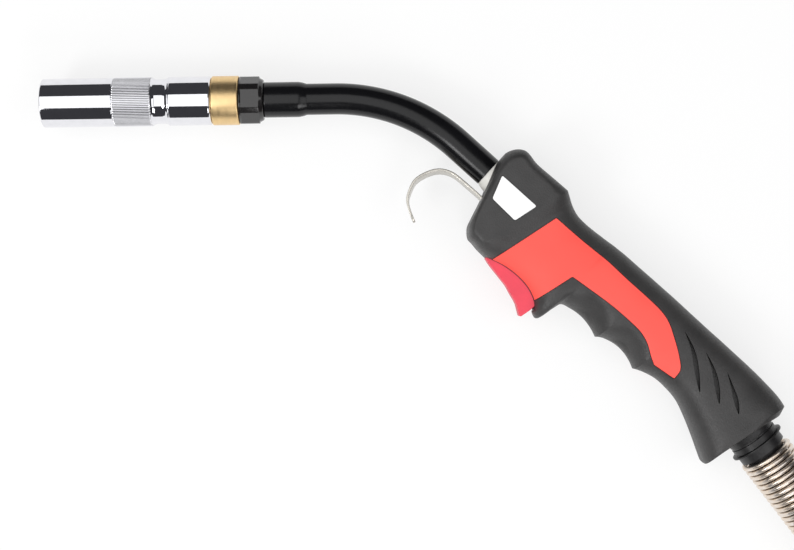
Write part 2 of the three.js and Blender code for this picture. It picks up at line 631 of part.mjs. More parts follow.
const CABLE_BORE = CABLE_DIAMETER + 2 * FIT;
const RING_FACE = COLLAR_FLANGE_THICKNESS + COLLAR_RING_LENGTH;
const GUARD_RADIUS = (GUARD_DIAMETER - GUARD_WIRE) / 2;
const GUARD_START = RING_FACE + FIT + GUARD_WIRE / 2;
const GUARD_END = GUARD_START + GUARD_CURLS * GUARD_PITCH + GUARD_WIRE / 2;
piece(rear, 'cable_collar', turned([
  [-COLLAR_DEPTH, CABLE_BORE / 2],
  [-COLLAR_DEPTH, COLLAR_DIAMETER / 2 + 1.8],
  [-COLLAR_DEPTH + COLLAR_INNER_FLANGE, COLLAR_DIAMETER / 2 + 1.8],
  [-COLLAR_DEPTH + COLLAR_INNER_FLANGE, COLLAR_DIAMETER / 2],
  [0, COLLAR_DIAMETER / 2],
  [0, COLLAR_FLANGE_DIAMETER / 2],
  [COLLAR_FLANGE_THICKNESS, COLLAR_FLANGE_DIAMETER / 2],
  [COLLAR_FLANGE_THICKNESS, COLLAR_RING_DIAMETER / 2],
  [RING_FACE, COLLAR_RING_DIAMETER / 2],
  [RING_FACE, CABLE_BORE / 2 + 1],
  [RING_FACE + GUARD_SPIGOT_LENGTH, CABLE_BORE / 2 + 1],
  [RING_FACE + GUARD_SPIGOT_LENGTH, CABLE_BORE / 2],
]), 'black_plastic');

// Least clearance between stretches of one tube that lie at least `apart` stops from each other.
function leastGap(stops, diameter, apart) {
  const points = stops.flatMap(({ at }, k) => (k ? [at.clone().lerp(stops[k - 1].at, 0.5), at] : [at]));
  let least = Infinity;
  for (let i = 0; i < points.length; i += 1) {
    for (let k = i + 2 * apart; k < points.length; k += 1) {
      least = Math.min(least, points[i].distanceTo(points[k]) - diameter);
    }
  }
  return least;
}

// Stops along a helix about x, eight to a curl.
const CURL_STEPS = 8;
function helixStops(radius, pitch, curls, start) {
  const rise = pitch / (2 * Math.PI);
  return Array.from({ length: curls * CURL_STEPS + 1 }, (_, k) => {
    const angle = 2 * Math.PI * k / CURL_STEPS;
    const across = new THREE.Vector3(0, Math.cos(angle), Math.sin(angle));
    const along = new THREE.Vector3(rise, -radius * Math.sin(angle), radius * Math.cos(angle)).normalize();
    const at = across.clone().multiplyScalar(radius).setX(start + rise * angle);
    return { at, along, across };
  });
}

const WIRE_SIDES = 5;
const guardStops = helixStops(GUARD_RADIUS, GUARD_PITCH, GUARD_CURLS, GUARD_START);
piece(rear, 'spring_guard', rod(guardStops, GUARD_WIRE, WIRE_SIDES), 'nickel');
console.log(`spring_guard least gap ${leastGap(guardStops, GUARD_WIRE, CURL_STEPS / 2).toFixed(2)} mm`);

// Cable inside the handle and the guard, bent from the neck's line to the collar's.
const inHandle = (group, x, y = 0) => new THREE.Vector3(x, y, 0).applyEuler(group.rotation).add(group.position);
const cableStart = inHandle(neck, COUPLING_END + FIT);
const cableStraight = inHandle(rear, -COLLAR_DEPTH - 1);
const cableEnd = inHandle(rear, GUARD_END);
const startSlope = Math.tan(NECK_TILT * DEGREE);
const endSlope = Math.tan(REAR_TILT * DEGREE);
const meetX = (cableStraight.y - cableStart.y + startSlope * cableStart.x - endSlope * cableStraight.x)
  / (startSlope - endSlope);
const meeting = new THREE.Vector3(meetX, cableStart.y + startSlope * (meetX - cableStart.x), 0);
const cableBend = new THREE.QuadraticBezierCurve3(cableStart, meeting, cableStraight);
const CABLE_STEPS = 5;
const cableStops = Array.from({ length: CABLE_STEPS + 1 }, (_, k) => ({
  at: cableBend.getPoint(k / CABLE_STEPS),
  along: cableBend.getTangent(k / CABLE_STEPS),
}));
cableStops.push({ at: cableEnd, along: cableStops[CABLE_STEPS].along });
piece(handle, 'cable_head', rod(cableStops, CABLE_DIAMETER, SMALL_ROUND), 'cable_rubber');

// ---------------------------------------------------------------- hook, trigger and switch

// Centreline of the hook's strip, from the bent end inside the head to the tip.
const HOOK_LINE = [
  [-8.6, -16.4], [-8.6, -13.4], [-9.8, -12.1], [-28.9, -13], [-36.7, -13.8], [-41.3, -15.7], [-44.8, -18.7],
  [-47.7, -24.1], [-49.1, -30.9], [-47.1, -37.2], [-44.5, -41.3], [-39.7, -44.4], [-33.6, -47],
];

// A strip of the hook's width along part of its line, tilted with the hook about its rear bend.
function hookStrip(line, clearance) {
  const halfWidth = HOOK_WIDTH / 2 + clearance;
  const [x, y] = HOOK_LINE[2];
  return plate(strip(line, HOOK_THICKNESS + 2 * clearance), -halfWidth, halfWidth)
    .translate(-x, -y, 0)
    .rotateX(HOOK_ROLL * DEGREE)
    .rotateY(HOOK_PITCH * DEGREE)
    .translate(x, y, 0);
}
piece(handle, 'hanging_hook', hookStrip(HOOK_LINE, 0), 'steel');

// Outline of the trigger, anticlockwise from its front.
const TRIGGER_OUTLINE = [
  [6.7, -32.8], [7.3, -34], [11.1, -34.7], [21, -35.9], [25.4, -36.5], [29.9, -37.8], [35.7, -39.4],
  [38.9, -41.2], [42.3, -43.2], [43.4, -37.6], [43.6, -33.4], [43.2, -28.4], [40, TRIGGER_INNER],
  [PIVOT[0] + 2, TRIGGER_INNER], [PIVOT[0] - 3, TRIGGER_INNER], [6.9, -29.5],
];
const springSpace = TRIGGER_SPRING_CURLS * TRIGGER_SPRING_PITCH + TRIGGER_SPRING_WIRE + 2 * FIT;
const pinHole = PIVOT_PIN_DIAMETER + 2 * FIT;
const trigger = cut(
  join(
    solid(plate(TRIGGER_OUTLINE, -TRIGGER_WIDTH / 2, TRIGGER_WIDTH / 2)),
    solid(post(PIVOT, TRIGGER_EYE_DIAMETER, -TRIGGER_WIDTH / 2, TRIGGER_WIDTH / 2)),
  ),
  solid(post(PIVOT, pinHole, -TRIGGER_WIDTH, TRIGGER_WIDTH)),
  solid(post(PIVOT, TRIGGER_EYE_DIAMETER + 1.8, -springSpace / 2, springSpace / 2)),
);
piece(handle, 'trigger', trigger, 'red_trigger');
const pin = post(PIVOT, PIVOT_PIN_DIAMETER, -PIVOT_PIN_LENGTH / 2, PIVOT_PIN_LENGTH / 2);
piece(handle, 'trigger_pivot_pin', pin, 'steel');

const springRadius = pinHole / 2 + FIT + TRIGGER_SPRING_WIRE / 2;
const springLength = TRIGGER_SPRING_CURLS * TRIGGER_SPRING_PITCH;
const springStops = helixStops(springRadius, TRIGGER_SPRING_PITCH, TRIGGER_SPRING_CURLS, -springLength / 2);
const springLeg = (stop, length) => ({ ...stop, at: stop.at.clone().add(new THREE.Vector3(0, 0, length)) });
const triggerSpring = rod([
  springLeg(springStops[0], -3.2),
  ...springStops,
  springLeg(springStops[springStops.length - 1], 6),
], TRIGGER_SPRING_WIRE, WIRE_SIDES);
triggerSpring.rotateX(-Math.PI / 2).rotateY(-Math.PI / 2).translate(...PIVOT, 0);
piece(handle, 'trigger_spring', triggerSpring, 'steel');
console.log(`trigger_spring least gap ${leastGap(springStops, TRIGGER_SPRING_WIRE, CURL_STEPS / 2).toFixed(2)} mm`);

const switchLow = TRIGGER_INNER + SWITCH_LIFT;
const switchMiddle = switchLow + SWITCH_HEIGHT / 2;
const switchHoles = [
  [SWITCH_FRONT + SWITCH_HOLE_INSET, switchMiddle],
  [SWITCH_FRONT + SWITCH_LENGTH - SWITCH_HOLE_INSET, switchMiddle],
];
const plungerLow = TRIGGER_INNER + FIT;
const plungerHigh = plungerLow + PLUNGER_LENGTH;
const plungerAt = (diameter, low, high) => cylinder(diameter, low, high).rotateZ(Math.PI / 2).translate(PLUNGER_PLACE, 0, 0);
const switchBody = cut(
  solid(block(
    [SWITCH_FRONT, switchLow, -SWITCH_WIDTH / 2],
    [SWITCH_FRONT + SWITCH_LENGTH, switchLow + SWITCH_HEIGHT, SWITCH_WIDTH / 2],
  )),
  ...switchHoles.map((place) => solid(post(place, SWITCH_HOLE, -SWITCH_WIDTH, SWITCH_WIDTH))),
  solid(plungerAt(PLUNGER_DIAMETER + 2 * FIT, switchLow - 1, plungerHigh + PLUNGER_TRAVEL)),
);
piece(handle, 'switch_body', switchBody, 'black_plastic');
piece(handle, 'switch_plunger', plungerAt(PLUNGER_DIAMETER, plungerLow, plungerHigh), 'white_nylon');

// Lead from the switch into the end of the cable.
const leadDepth = -(COUPLING_END_DIAMETER / 2 + FIT + SWITCH_LEAD_DIAMETER / 2);
const switchLeadCurve = new THREE.CatmullRomCurve3([
  new THREE.Vector3(SWITCH_FRONT + SWITCH_LENGTH + FIT, switchMiddle, 0),
  new THREE.Vector3(SWITCH_FRONT + SWITCH_LENGTH + 4, switchMiddle, 0),
  new THREE.Vector3(48, -9.5, 0),
  inHandle(neck, COUPLING_END - 4, leadDepth),
  inHandle(neck, COUPLING_END, leadDepth),
]);
const leadOutline = new THREE.Shape(new THREE.Path().absarc(0, 0, SWITCH_LEAD_DIAMETER / 2, 0, 2 * Math.PI).getPoints(4));
const switchLead = new THREE.ExtrudeGeometry(leadOutline, { steps: 8, extrudePath: switchLeadCurve });
piece(handle, 'switch_lead', switchLead, 'cable_rubber');

// ---------------------------------------------------------------- handle halves

// Outline of the grip inlay, anticlockwise; it runs off the belly in front of and behind the trigger.
const INLAY_OUTLINE = [
  [18.1, 7.2], [8.3, -40], [39.3, -40], [46, -8.6], [58, -6.6], [71.4, -4.6], [84, -3.7], [92.7, -3.7],
  [99.5, -5.6], [105.7, -9], [110.1, -10.8], [122.6, -8.5], [121.2, -3.2], [115.9, 1.2], [106.2, 6.9],
  [99, 10.4], [92.7, 11.7], [82.1, 11.7], [67.6, 10.9], [52.6, 10.4], [38.7, 8.9], [26.1, 7.9],
];
const LABEL_OUTLINE = [[-18.1, 2.6], [-13.2, -9.7], [3.4, -9.5], [6.2, 3.9]];
const SLIT_LINES = [
  [[108.9, 13], [118, 9.1], [125.6, 4], [136.6, -4.3]],
  [[124.4, 13], [133.4, 9.1], [141, 4], [147.9, -1.5]],
  [[139.5, 13.4], [148.3, 8.6], [153.1, 5.7], [158.8, 1.8]],
];
const SLIT_WIDTH = 2.2;
const SLIT_DEPTH = 2.2;
const INLAY_EDGE = TRIGGER_WIDTH / 2 + 1.2; // of the inlay, beside the trigger
const SCREW_PLACES = [[-6, -24], [4, 15.6], [72, -12], [146, 18.8]];
const CLAMP_RIBS = [14, 28];
const CLAMP_RIB_LOW = -9;
const CABLE_RIBS = [70, 105, 140];

const rib = (x, low) => block([x - RIB_THICKNESS / 2, low, -FAR], [x + RIB_THICKNESS / 2, FAR, FAR]);
const ribs = join(...[
  ...CLAMP_RIBS.map((x) => rib(x, CLAMP_RIB_LOW)),
  ...CABLE_RIBS.map((x) => rib(x, -FAR)),
  ...SCREW_PLACES.map((place) => post(place, BOSS_DIAMETER, -FAR, FAR)),
  ...switchHoles.map((place) => post(place, SWITCH_HOLE + 3, -FAR, FAR)),
  post(PIVOT, BOSS_DIAMETER, -FAR, FAR),
].map(solid)).intersect(core);

// Spaces left free in both halves.
const slotHalf = TRIGGER_WIDTH / 2 + FIT;
const inNeck = (geometry) => solid(geometry.rotateZ(neck.rotation.z).translate(...neck.position.toArray()));
const inRear = (geometry) => solid(geometry.rotateZ(rear.rotation.z).translate(...rear.position.toArray()));
const spaces = [
  inNeck(cylinder(BUSH_DIAMETER + 2 * FIT, -10, BUSH_END + 4, ROUND)),
  inNeck(block(clampLow.map((value) => value - FIT), clampHigh.map((value) => value + FIT))),
  inRear(cylinder(COLLAR_DIAMETER + 2 * FIT, -COLLAR_DEPTH + COLLAR_INNER_FLANGE - 4, 10, ROUND)),
  solid(rod(cableStops, CABLE_DIAMETER + 2 * FIT, SMALL_ROUND)),
  solid(hookStrip(HOOK_LINE.slice(2, 4), FIT)),
  solid(block([6.4, -FAR, -slotHalf], [45.3, switchLow, slotHalf])),
  solid(block(
    [SWITCH_FRONT - FIT, switchLow - FIT, -SWITCH_WIDTH / 2 - FIT],
    [SWITCH_FRONT + SWITCH_LENGTH + FIT, switchLow + SWITCH_HEIGHT + FIT, SWITCH_WIDTH / 2 + FIT],
  )),
  solid(post(PIVOT, pinHole, -PIVOT_PIN_LENGTH / 2 - FIT, PIVOT_PIN_LENGTH / 2 + FIT)),
  ...SCREW_PLACES.flatMap((place) => [
    solid(post(place, SCREW_DIAMETER + 2 * FIT, -SCREW_SEAT - 1, SCREW_REACH + FIT)),
    solid(post(place, SCREW_HEAD_DIAMETER + 2 * FIT, -FAR, -SCREW_SEAT)),
  ]),
];

// One side of the handle: -1 is the right half, below, and 1 the left half, above.
function side(sign) {
  const band = (low, high) => [Math.min(sign * low, sign * high), Math.max(sign * low, sign * high)];
  const half = (low) => {
    const [bottom, top] = band(low, FAR);
    return solid(block([-FAR, -FAR, bottom], [FAR, FAR, top]));
  };
  const inlayPrism = (clearance) => solid(plate(grown(INLAY_OUTLINE, clearance), ...band(INLAY_EDGE - clearance, FAR)));
  const inlay = outer.intersect(inlayPrism(0)).subtract(handleForm(INLAY_THICKNESS, SECTIONS));
  const recess = inlayPrism(FIT).subtract(handleForm(INLAY_THICKNESS + FIT, SECTIONS));
  const slits = SLIT_LINES.map((line) => solid(plate(strip(line, SLIT_WIDTH), ...band(1, FAR))));
  const skin = join(...slits).subtract(handleForm(SLIT_DEPTH, SECTIONS));
  return { shell: cut(join(outer.subtract(cavity), ribs), ...spaces, recess, skin).intersect(half(FIT / 2)), inlay };
}

const left = side(1);
const right = side(-1);
const labelFloor = HEAD_WIDTH / 2 - LABEL_THICKNESS;
const labelSpace = solid(plate(grown(LABEL_OUTLINE, FIT), labelFloor - FIT, FAR));
const pegs = switchHoles.map((place) => solid(post(place, SWITCH_HOLE - 2 * FIT, -SWITCH_WIDTH, SWITCH_WIDTH / 2)));
piece(handle, 'handle_shell_left', cut(left.shell, labelSpace), 'handle_black');
piece(handle, 'handle_shell_right', join(right.shell, ...pegs), 'handle_black');
piece(handle, 'grip_inlay_left', left.inlay, 'red_inlay');
piece(handle, 'grip_inlay_right', right.inlay, 'red_inlay');
piece(handle, 'label_plate', plate(LABEL_OUTLINE, labelFloor, HEAD_WIDTH / 2), 'white_plate');

// Screws enter from the right half.
SCREW_PLACES.forEach((place, k) => {
  const screw = turned([
    [-SCREW_SEAT - FIT - SCREW_HEAD_HEIGHT, 0],
    [-SCREW_SEAT - FIT - SCREW_HEAD_HEIGHT, SCREW_HEAD_DIAMETER / 2],
    [-SCREW_SEAT - FIT, SCREW_HEAD_DIAMETER / 2],
    [-SCREW_SEAT - FIT, SCREW_DIAMETER / 2],
    [SCREW_REACH, SCREW_DIAMETER / 2],
    [SCREW_REACH, 0],
  ], PIN_ROUND).rotateY(-Math.PI / 2).translate(...place, 0);
  piece(handle, `handle_screw_${k + 1}`, screw, 'steel');
});

// ---------------------------------------------------------------- free cable

torch.updateMatrixWorld(true);
const leadStart = rear.localToWorld(new THREE.Vector3(GUARD_END + FIT, 0, 0));
const leadHeading = REAR_TILT - HANDLE_SLOPE;
const headingAt = (degrees) => new THREE.Vector3(Math.cos(degrees * DEGREE), Math.sin(degrees * DEGREE), 0);
const leadEnd = leadStart.clone().addScaledVector(headingAt(leadHeading), LEAD_LENGTH);
const cableOutline = new THREE.Shape(new THREE.Path().absarc(0, 0, CABLE_DIAMETER / 2, 0, 2 * Math.PI).getPoints(5));
const leadRoute = new THREE.LineCurve3(leadStart, leadEnd);
const lead = new THREE.ExtrudeGeometry(cableOutline, { steps: 1, extrudePath: leadRoute });
piece(torch, 'cable_lead', lead, 'cable_rubber');

// Coil: spirals in on the lower layer, climbs in the half turn where it reverses, and spirals out above.
const COIL_STEPS = 24;
const coilRadius = (turns) => COIL_OUTER_RADIUS - COIL_PITCH * Math.min(turns, 2 * COIL_FIRST_TURNS - turns);
const spiralLean = (turns) => Math.atan(COIL_PITCH / (2 * Math.PI * coilRadius(turns))) / DEGREE;
const coilStart = leadEnd.clone().addScaledVector(headingAt(leadHeading), FIT + CABLE_DIAMETER);
const coilStartAngle = leadHeading - 90 - spiralLean(0);
const coilCentre = coilStart.clone().addScaledVector(headingAt(coilStartAngle), -COIL_OUTER_RADIUS);
function coilHeight(turns) {
  const settled = THREE.MathUtils.smoothstep(turns, 0, COIL_SETTLE / 360);
  const climbed = THREE.MathUtils.smoothstep(turns, COIL_FIRST_TURNS - 0.25, COIL_FIRST_TURNS + 0.25);
  return THREE.MathUtils.lerp(SPLIT_HEIGHT, COIL_LIFT, settled) + COIL_LAYER * climbed;
}
function coilPoint(turns) {
  const angle = coilStartAngle + 360 * turns;
  return coilCentre.clone().addScaledVector(headingAt(angle), coilRadius(turns)).setZ(coilHeight(turns));
}
const coilEndAngle = coilStartAngle + 360 * COIL_TURNS;
const tailHeading = coilEndAngle + 90 - spiralLean(COIL_TURNS);
const coilCount = Math.round(COIL_TURNS * COIL_STEPS);
const wound = Array.from({ length: coilCount + 1 }, (_, k) => coilPoint(k * COIL_TURNS / coilCount));
const straightIn = coilStart.clone().addScaledVector(headingAt(leadHeading), -CABLE_DIAMETER);
const straightOut = wound[coilCount].clone().addScaledVector(headingAt(tailHeading), CABLE_DIAMETER);
const coilPlaces = [straightIn, ...wound, straightOut];
const coilStops = coilPlaces.map((at, k) => {
  const before = coilPlaces[Math.max(k - 1, 0)];
  const after = coilPlaces[Math.min(k + 1, coilPlaces.length - 1)];
  const arriving = at.clone().sub(before).normalize();
  const leaving = after.clone().sub(at).normalize();
  return { at, along: arriving.add(leaving).normalize() };
});
const COIL_SIDES = 6;
piece(torch, 'cable_coil', rod(coilStops, CABLE_DIAMETER, COIL_SIDES), 'cable_rubber');
console.log(`cable_coil least gap ${leastGap(coilStops, CABLE_DIAMETER, COIL_STEPS / 2).toFixed(2)} mm`);

// Tail of the cable, from the coil to the connector that lies on the bench.
const plug = new THREE.Group();
const PLUG_INLET = [322, 10];
const PLUG_AXIS_HEIGHT = PLUG_HOUSING_DIAMETER / 2;
const TAIL_DEPTH = 31; // of the cable's end inside the connector
const TAIL_ROUTE = [[441, -96, 30.6], [426, -55, 30.2], [405, -21.5, 28], [373, 2, 24.6], [345, 9.7, 23.1]];
const tailStart = straightOut.clone().addScaledVector(headingAt(tailHeading), FIT);
const tailCurve = new THREE.CatmullRomCurve3([
  tailStart,
  tailStart.clone().addScaledVector(headingAt(tailHeading), CABLE_DIAMETER),
  ...TAIL_ROUTE.map((place) => new THREE.Vector3(...place)),
  new THREE.Vector3(...PLUG_INLET, PLUG_AXIS_HEIGHT),
  new THREE.Vector3(PLUG_INLET[0] - TAIL_DEPTH, PLUG_INLET[1], PLUG_AXIS_HEIGHT),
], false, 'centripetal');
const TAIL_STEPS = 9;
const tail = new THREE.ExtrudeGeometry(cableOutline, { steps: TAIL_STEPS, extrudePath: tailCurve });
piece(torch, 'cable_tail', tail, 'cable_rubber');

// Two hook-and-loop ties round the coil, each at a corner of the wound tube.
const TIE_STOPS = [9, 18];
const TIE_CLEARANCE = 0.9;
TIE_STOPS.forEach((stop, k) => {
  const radii = [0, 1, 2, 3].map((turn) => stop * COIL_TURNS / coilCount + turn)
    .filter((turns) => turns < COIL_TURNS)
    .map(coilRadius);
  const reach = CABLE_DIAMETER / 2 + TIE_CLEARANCE;
  const inner = Math.min(...radii) - reach;
  const outside = Math.max(...radii) + reach;
  const floor = COIL_LIFT - CABLE_DIAMETER / 2 - FIT;
  const ceiling = COIL_LIFT + COIL_LAYER + CABLE_DIAMETER / 2 + FIT;
  const band = cut(
    solid(block([inner - TIE_THICKNESS, -TIE_WIDTH / 2, floor - TIE_THICKNESS],
      [outside + TIE_THICKNESS, TIE_WIDTH / 2, ceiling + TIE_THICKNESS])),
    solid(block([inner, -TIE_WIDTH, floor], [outside, TIE_WIDTH, ceiling])),
  );
  const angle = coilStartAngle + 360 * stop * COIL_TURNS / coilCount;
  const geometry = geometryOf(band).rotateZ(angle * DEGREE).translate(coilCentre.x, coilCentre.y, 0);
  piece(torch, `coil_tie_${k + 1}`, geometry, 'black_plastic');
});

// ---------------------------------------------------------------- connector

plug.position.set(...PLUG_INLET, PLUG_AXIS_HEIGHT);
plug.rotation.z = Math.PI;
torch.add(plug);

const BOOT_RADIUS = PLUG_BOOT_DIAMETER / 2;
const BOOT_FLANGE = 2.5; // beyond the boot's own radius
const BOOT_FLANGE_START = PLUG_BOOT_LENGTH - 7;
const boot = turned([
  [0, CABLE_BORE / 2],
  [0, BOOT_RADIUS - 1.5],
  [PLUG_HOUSING_START - 4, BOOT_RADIUS],
  [BOOT_FLANGE_START, BOOT_RADIUS],
  [BOOT_FLANGE_START, BOOT_RADIUS + BOOT_FLANGE],
  [PLUG_BOOT_LENGTH, BOOT_RADIUS + BOOT_FLANGE],
  [PLUG_BOOT_LENGTH, CABLE_BORE / 2],
]);
piece(plug, 'plug_cable_boot', boot, 'black_plastic');

const HOUSING_END = PLUG_HOUSING_START + PLUG_HOUSING_LENGTH;
const HOUSING_RADIUS = PLUG_HOUSING_DIAMETER / 2;
const BODY_RADIUS = PLUG_BODY_DIAMETER / 2;
const BODY_FLANGE_START = HOUSING_END - PLUG_FLANGE_LENGTH - PLUG_LIP_LENGTH - FIT;
const BODY_FLANGE_END = BODY_FLANGE_START + PLUG_FLANGE_LENGTH;
const SPOOL_RADIUS = PLUG_SPOOL_DIAMETER / 2;
const housing = solid(turned([
  [PLUG_HOUSING_START, BOOT_RADIUS + FIT],
  [PLUG_HOUSING_START, BOOT_RADIUS + 4.5],
  [PLUG_HOUSING_START + 9, HOUSING_RADIUS - 1],
  [PLUG_HOUSING_START + 14, HOUSING_RADIUS],
  [HOUSING_END, HOUSING_RADIUS],
  [HOUSING_END, SPOOL_RADIUS + FIT],
  [HOUSING_END - PLUG_LIP_LENGTH, SPOOL_RADIUS + FIT],
  [HOUSING_END - PLUG_LIP_LENGTH, PLUG_FLANGE_DIAMETER / 2 + FIT],
  [BODY_FLANGE_START - FIT, PLUG_FLANGE_DIAMETER / 2 + FIT],
  [BODY_FLANGE_START - FIT, HOUSING_RADIUS - PLUG_HOUSING_WALL],
  [PLUG_BOOT_LENGTH + FIT, HOUSING_RADIUS - PLUG_HOUSING_WALL],
  [PLUG_BOOT_LENGTH + FIT, BOOT_RADIUS + BOOT_FLANGE + FIT],
  [BOOT_FLANGE_START - FIT, BOOT_RADIUS + BOOT_FLANGE + FIT],
  [BOOT_FLANGE_START - FIT, BOOT_RADIUS + FIT],
]));
const PLUG_SCREW_PLACES = [[46, 19.6], [62, -19.6]];
const PLUG_SCREW_SEAT = 6;
const PLUG_SCREW_REACH = 6;
const screwSpaces = PLUG_SCREW_PLACES.flatMap((place) => [
  solid(post(place, SCREW_DIAMETER + 2 * FIT, -PLUG_SCREW_REACH - FIT, PLUG_SCREW_SEAT + 1)),
  solid(post(place, SCREW_HEAD_DIAMETER + 2 * FIT, PLUG_SCREW_SEAT, FAR)),
]);
const upperHalf = solid(block([-FAR, -FAR, FIT / 2], [FAR, FAR, FAR]));
const lowerHalf = solid(block([-FAR, -FAR, -FAR], [FAR, FAR, -FIT / 2]));
piece(plug, 'plug_housing_upper', cut(housing, ...screwSpaces).intersect(upperHalf), 'grey_plastic');
piece(plug, 'plug_housing_lower', cut(housing, ...screwSpaces).intersect(lowerHalf), 'grey_plastic');
PLUG_SCREW_PLACES.forEach((place, k) => {
  const screw = turned([
    [-PLUG_SCREW_REACH, 0],
    [-PLUG_SCREW_REACH, SCREW_DIAMETER / 2],
    [PLUG_SCREW_SEAT + FIT, SCREW_DIAMETER / 2],
    [PLUG_SCREW_SEAT + FIT, SCREW_HEAD_DIAMETER / 2],
    [PLUG_SCREW_SEAT + FIT + SCREW_HEAD_HEIGHT, SCREW_HEAD_DIAMETER / 2],
    [PLUG_SCREW_SEAT + FIT + SCREW_HEAD_HEIGHT, 0],
  ], PIN_ROUND).rotateY(-Math.PI / 2).translate(...place, 0);
  piece(plug, `plug_screw_${k + 1}`, screw, 'steel');
});

const BODY_START = TAIL_DEPTH + 2 * FIT;
const BODY_END = HOUSING_END + 12;
const TUBE_SOCKET = 8; // depth of the gas tube inside the body
const TUBE_START = BODY_END - TUBE_SOCKET + FIT;
const TUBE_END = BODY_END + GAS_TUBE_LENGTH;
piece(plug, 'plug_body', turned([
  [BODY_START, GAS_TUBE_BORE / 2],
  [BODY_START, BODY_RADIUS - 2],
  [BODY_START + 8, BODY_RADIUS - 2],
  [BODY_START + 8, BODY_RADIUS],
  [BODY_FLANGE_START, BODY_RADIUS],
  [BODY_FLANGE_START, PLUG_FLANGE_DIAMETER / 2],
  [BODY_FLANGE_END, PLUG_FLANGE_DIAMETER / 2],
  [BODY_FLANGE_END, BODY_RADIUS],
  [BODY_END - 0.8, BODY_RADIUS],
  [BODY_END, BODY_RADIUS - 0.8],
  [BODY_END, GAS_TUBE_DIAMETER / 2 + FIT],
  [TUBE_START - FIT, GAS_TUBE_DIAMETER / 2 + FIT],
  [TUBE_START - FIT, GAS_TUBE_BORE / 2],
]), 'brass');

const SPOOL_START = BODY_FLANGE_END + FIT;
const WEB_END = HOUSING_END + FIT + PLUG_WEB_THICKNESS;
const SPOOL_END = WEB_END + FIT + PLUG_SPOOL_FLANGE_LENGTH;
const PIN_START = HOUSING_END - 1;
const pinPlaces = [60, 120].map((degrees) => headingAt(degrees).multiplyScalar(CONTACT_PIN_RADIUS));
const across = (diameter, start, end, place) => cylinder(diameter, start, end).translate(0, place.x, place.y);
const spool = cut(
  solid(turned([
    [SPOOL_START, BODY_RADIUS + FIT],
    [SPOOL_START, SPOOL_RADIUS],
    [WEB_END + FIT, SPOOL_RADIUS],
    [WEB_END + FIT, PLUG_SPOOL_FLANGE_DIAMETER / 2],
    [SPOOL_END, PLUG_SPOOL_FLANGE_DIAMETER / 2],
    [SPOOL_END, BODY_RADIUS + FIT],
  ])),
  ...pinPlaces.map((place) => solid(across(
    CONTACT_PIN_DIAMETER + 2 * FIT, PIN_START - CONTACT_PIN_TRAVEL - FIT, SPOOL_END + 1, place,
  ))),
);
piece(plug, 'plug_insulator', spool, 'black_plastic');
pinPlaces.forEach((place, k) => {
  const contact = across(CONTACT_PIN_DIAMETER, PIN_START, PIN_START + CONTACT_PIN_LENGTH, place);
  piece(plug, `contact_pin_${k + 1}`, contact, 'brass');
});

const NUT_START = HOUSING_END + FIT;
const NUT_END = NUT_START + PLUG_NUT_LENGTH;
const NUT_RADIUS = PLUG_NUT_DIAMETER / 2;
piece(plug, 'plug_nut', turned([
  [NUT_START, SPOOL_RADIUS + FIT],
  [NUT_START, NUT_RADIUS - 1],
  [NUT_START + 1, NUT_RADIUS],
  [NUT_END - 1, NUT_RADIUS],
  [NUT_END, NUT_RADIUS - 1],
  [NUT_END, NUT_RADIUS - PLUG_NUT_WALL],
  [WEB_END, NUT_RADIUS - PLUG_NUT_WALL],
  [WEB_END, SPOOL_RADIUS + FIT],
]), 'nickel');

const GROOVE_FROM = TUBE_END - 8;
const GROOVE_WIDTH = O_RING_SECTION + 2 * FIT;
const GROOVE_FLOOR = GAS_TUBE_DIAMETER / 2 - 1;
piece(plug, 'gas_tube', turned([
  [TUBE_START, GAS_TUBE_BORE / 2],
  [TUBE_START, GAS_TUBE_DIAMETER / 2],
  [GROOVE_FROM, GAS_TUBE_DIAMETER / 2],
  [GROOVE_FROM, GROOVE_FLOOR],
  [GROOVE_FROM + GROOVE_WIDTH, GROOVE_FLOOR],
  [GROOVE_FROM + GROOVE_WIDTH, GAS_TUBE_DIAMETER / 2],
  [TUBE_END - 1, GAS_TUBE_DIAMETER / 2],
  [TUBE_END, GAS_TUBE_DIAMETER / 2 - 0.8],
  [TUBE_END, GAS_TUBE_BORE / 2],
], 16), 'brass');
const ringRadius = GROOVE_FLOOR + FIT + O_RING_SECTION / 2;
const oRing = new THREE.TorusGeometry(ringRadius, O_RING_SECTION / 2, 5, SMALL_ROUND).rotateY(Math.PI / 2);
piece(plug, 'gas_tube_o_ring', oRing.translate(GROOVE_FROM + GROOVE_WIDTH / 2, 0, 0), 'black_plastic');

export default torch;
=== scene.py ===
# %% [markdown]
# # A wire welding torch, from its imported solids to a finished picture
# The solids come from a CAD model that Blender may not move. Each visible piece is built again here with
# the roundings, relief and finishes that a solid model leaves out, and stands where its solid stands.

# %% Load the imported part
import json
import math
import bpy
import bmesh
import numpy as np
from mathutils import Matrix, Vector


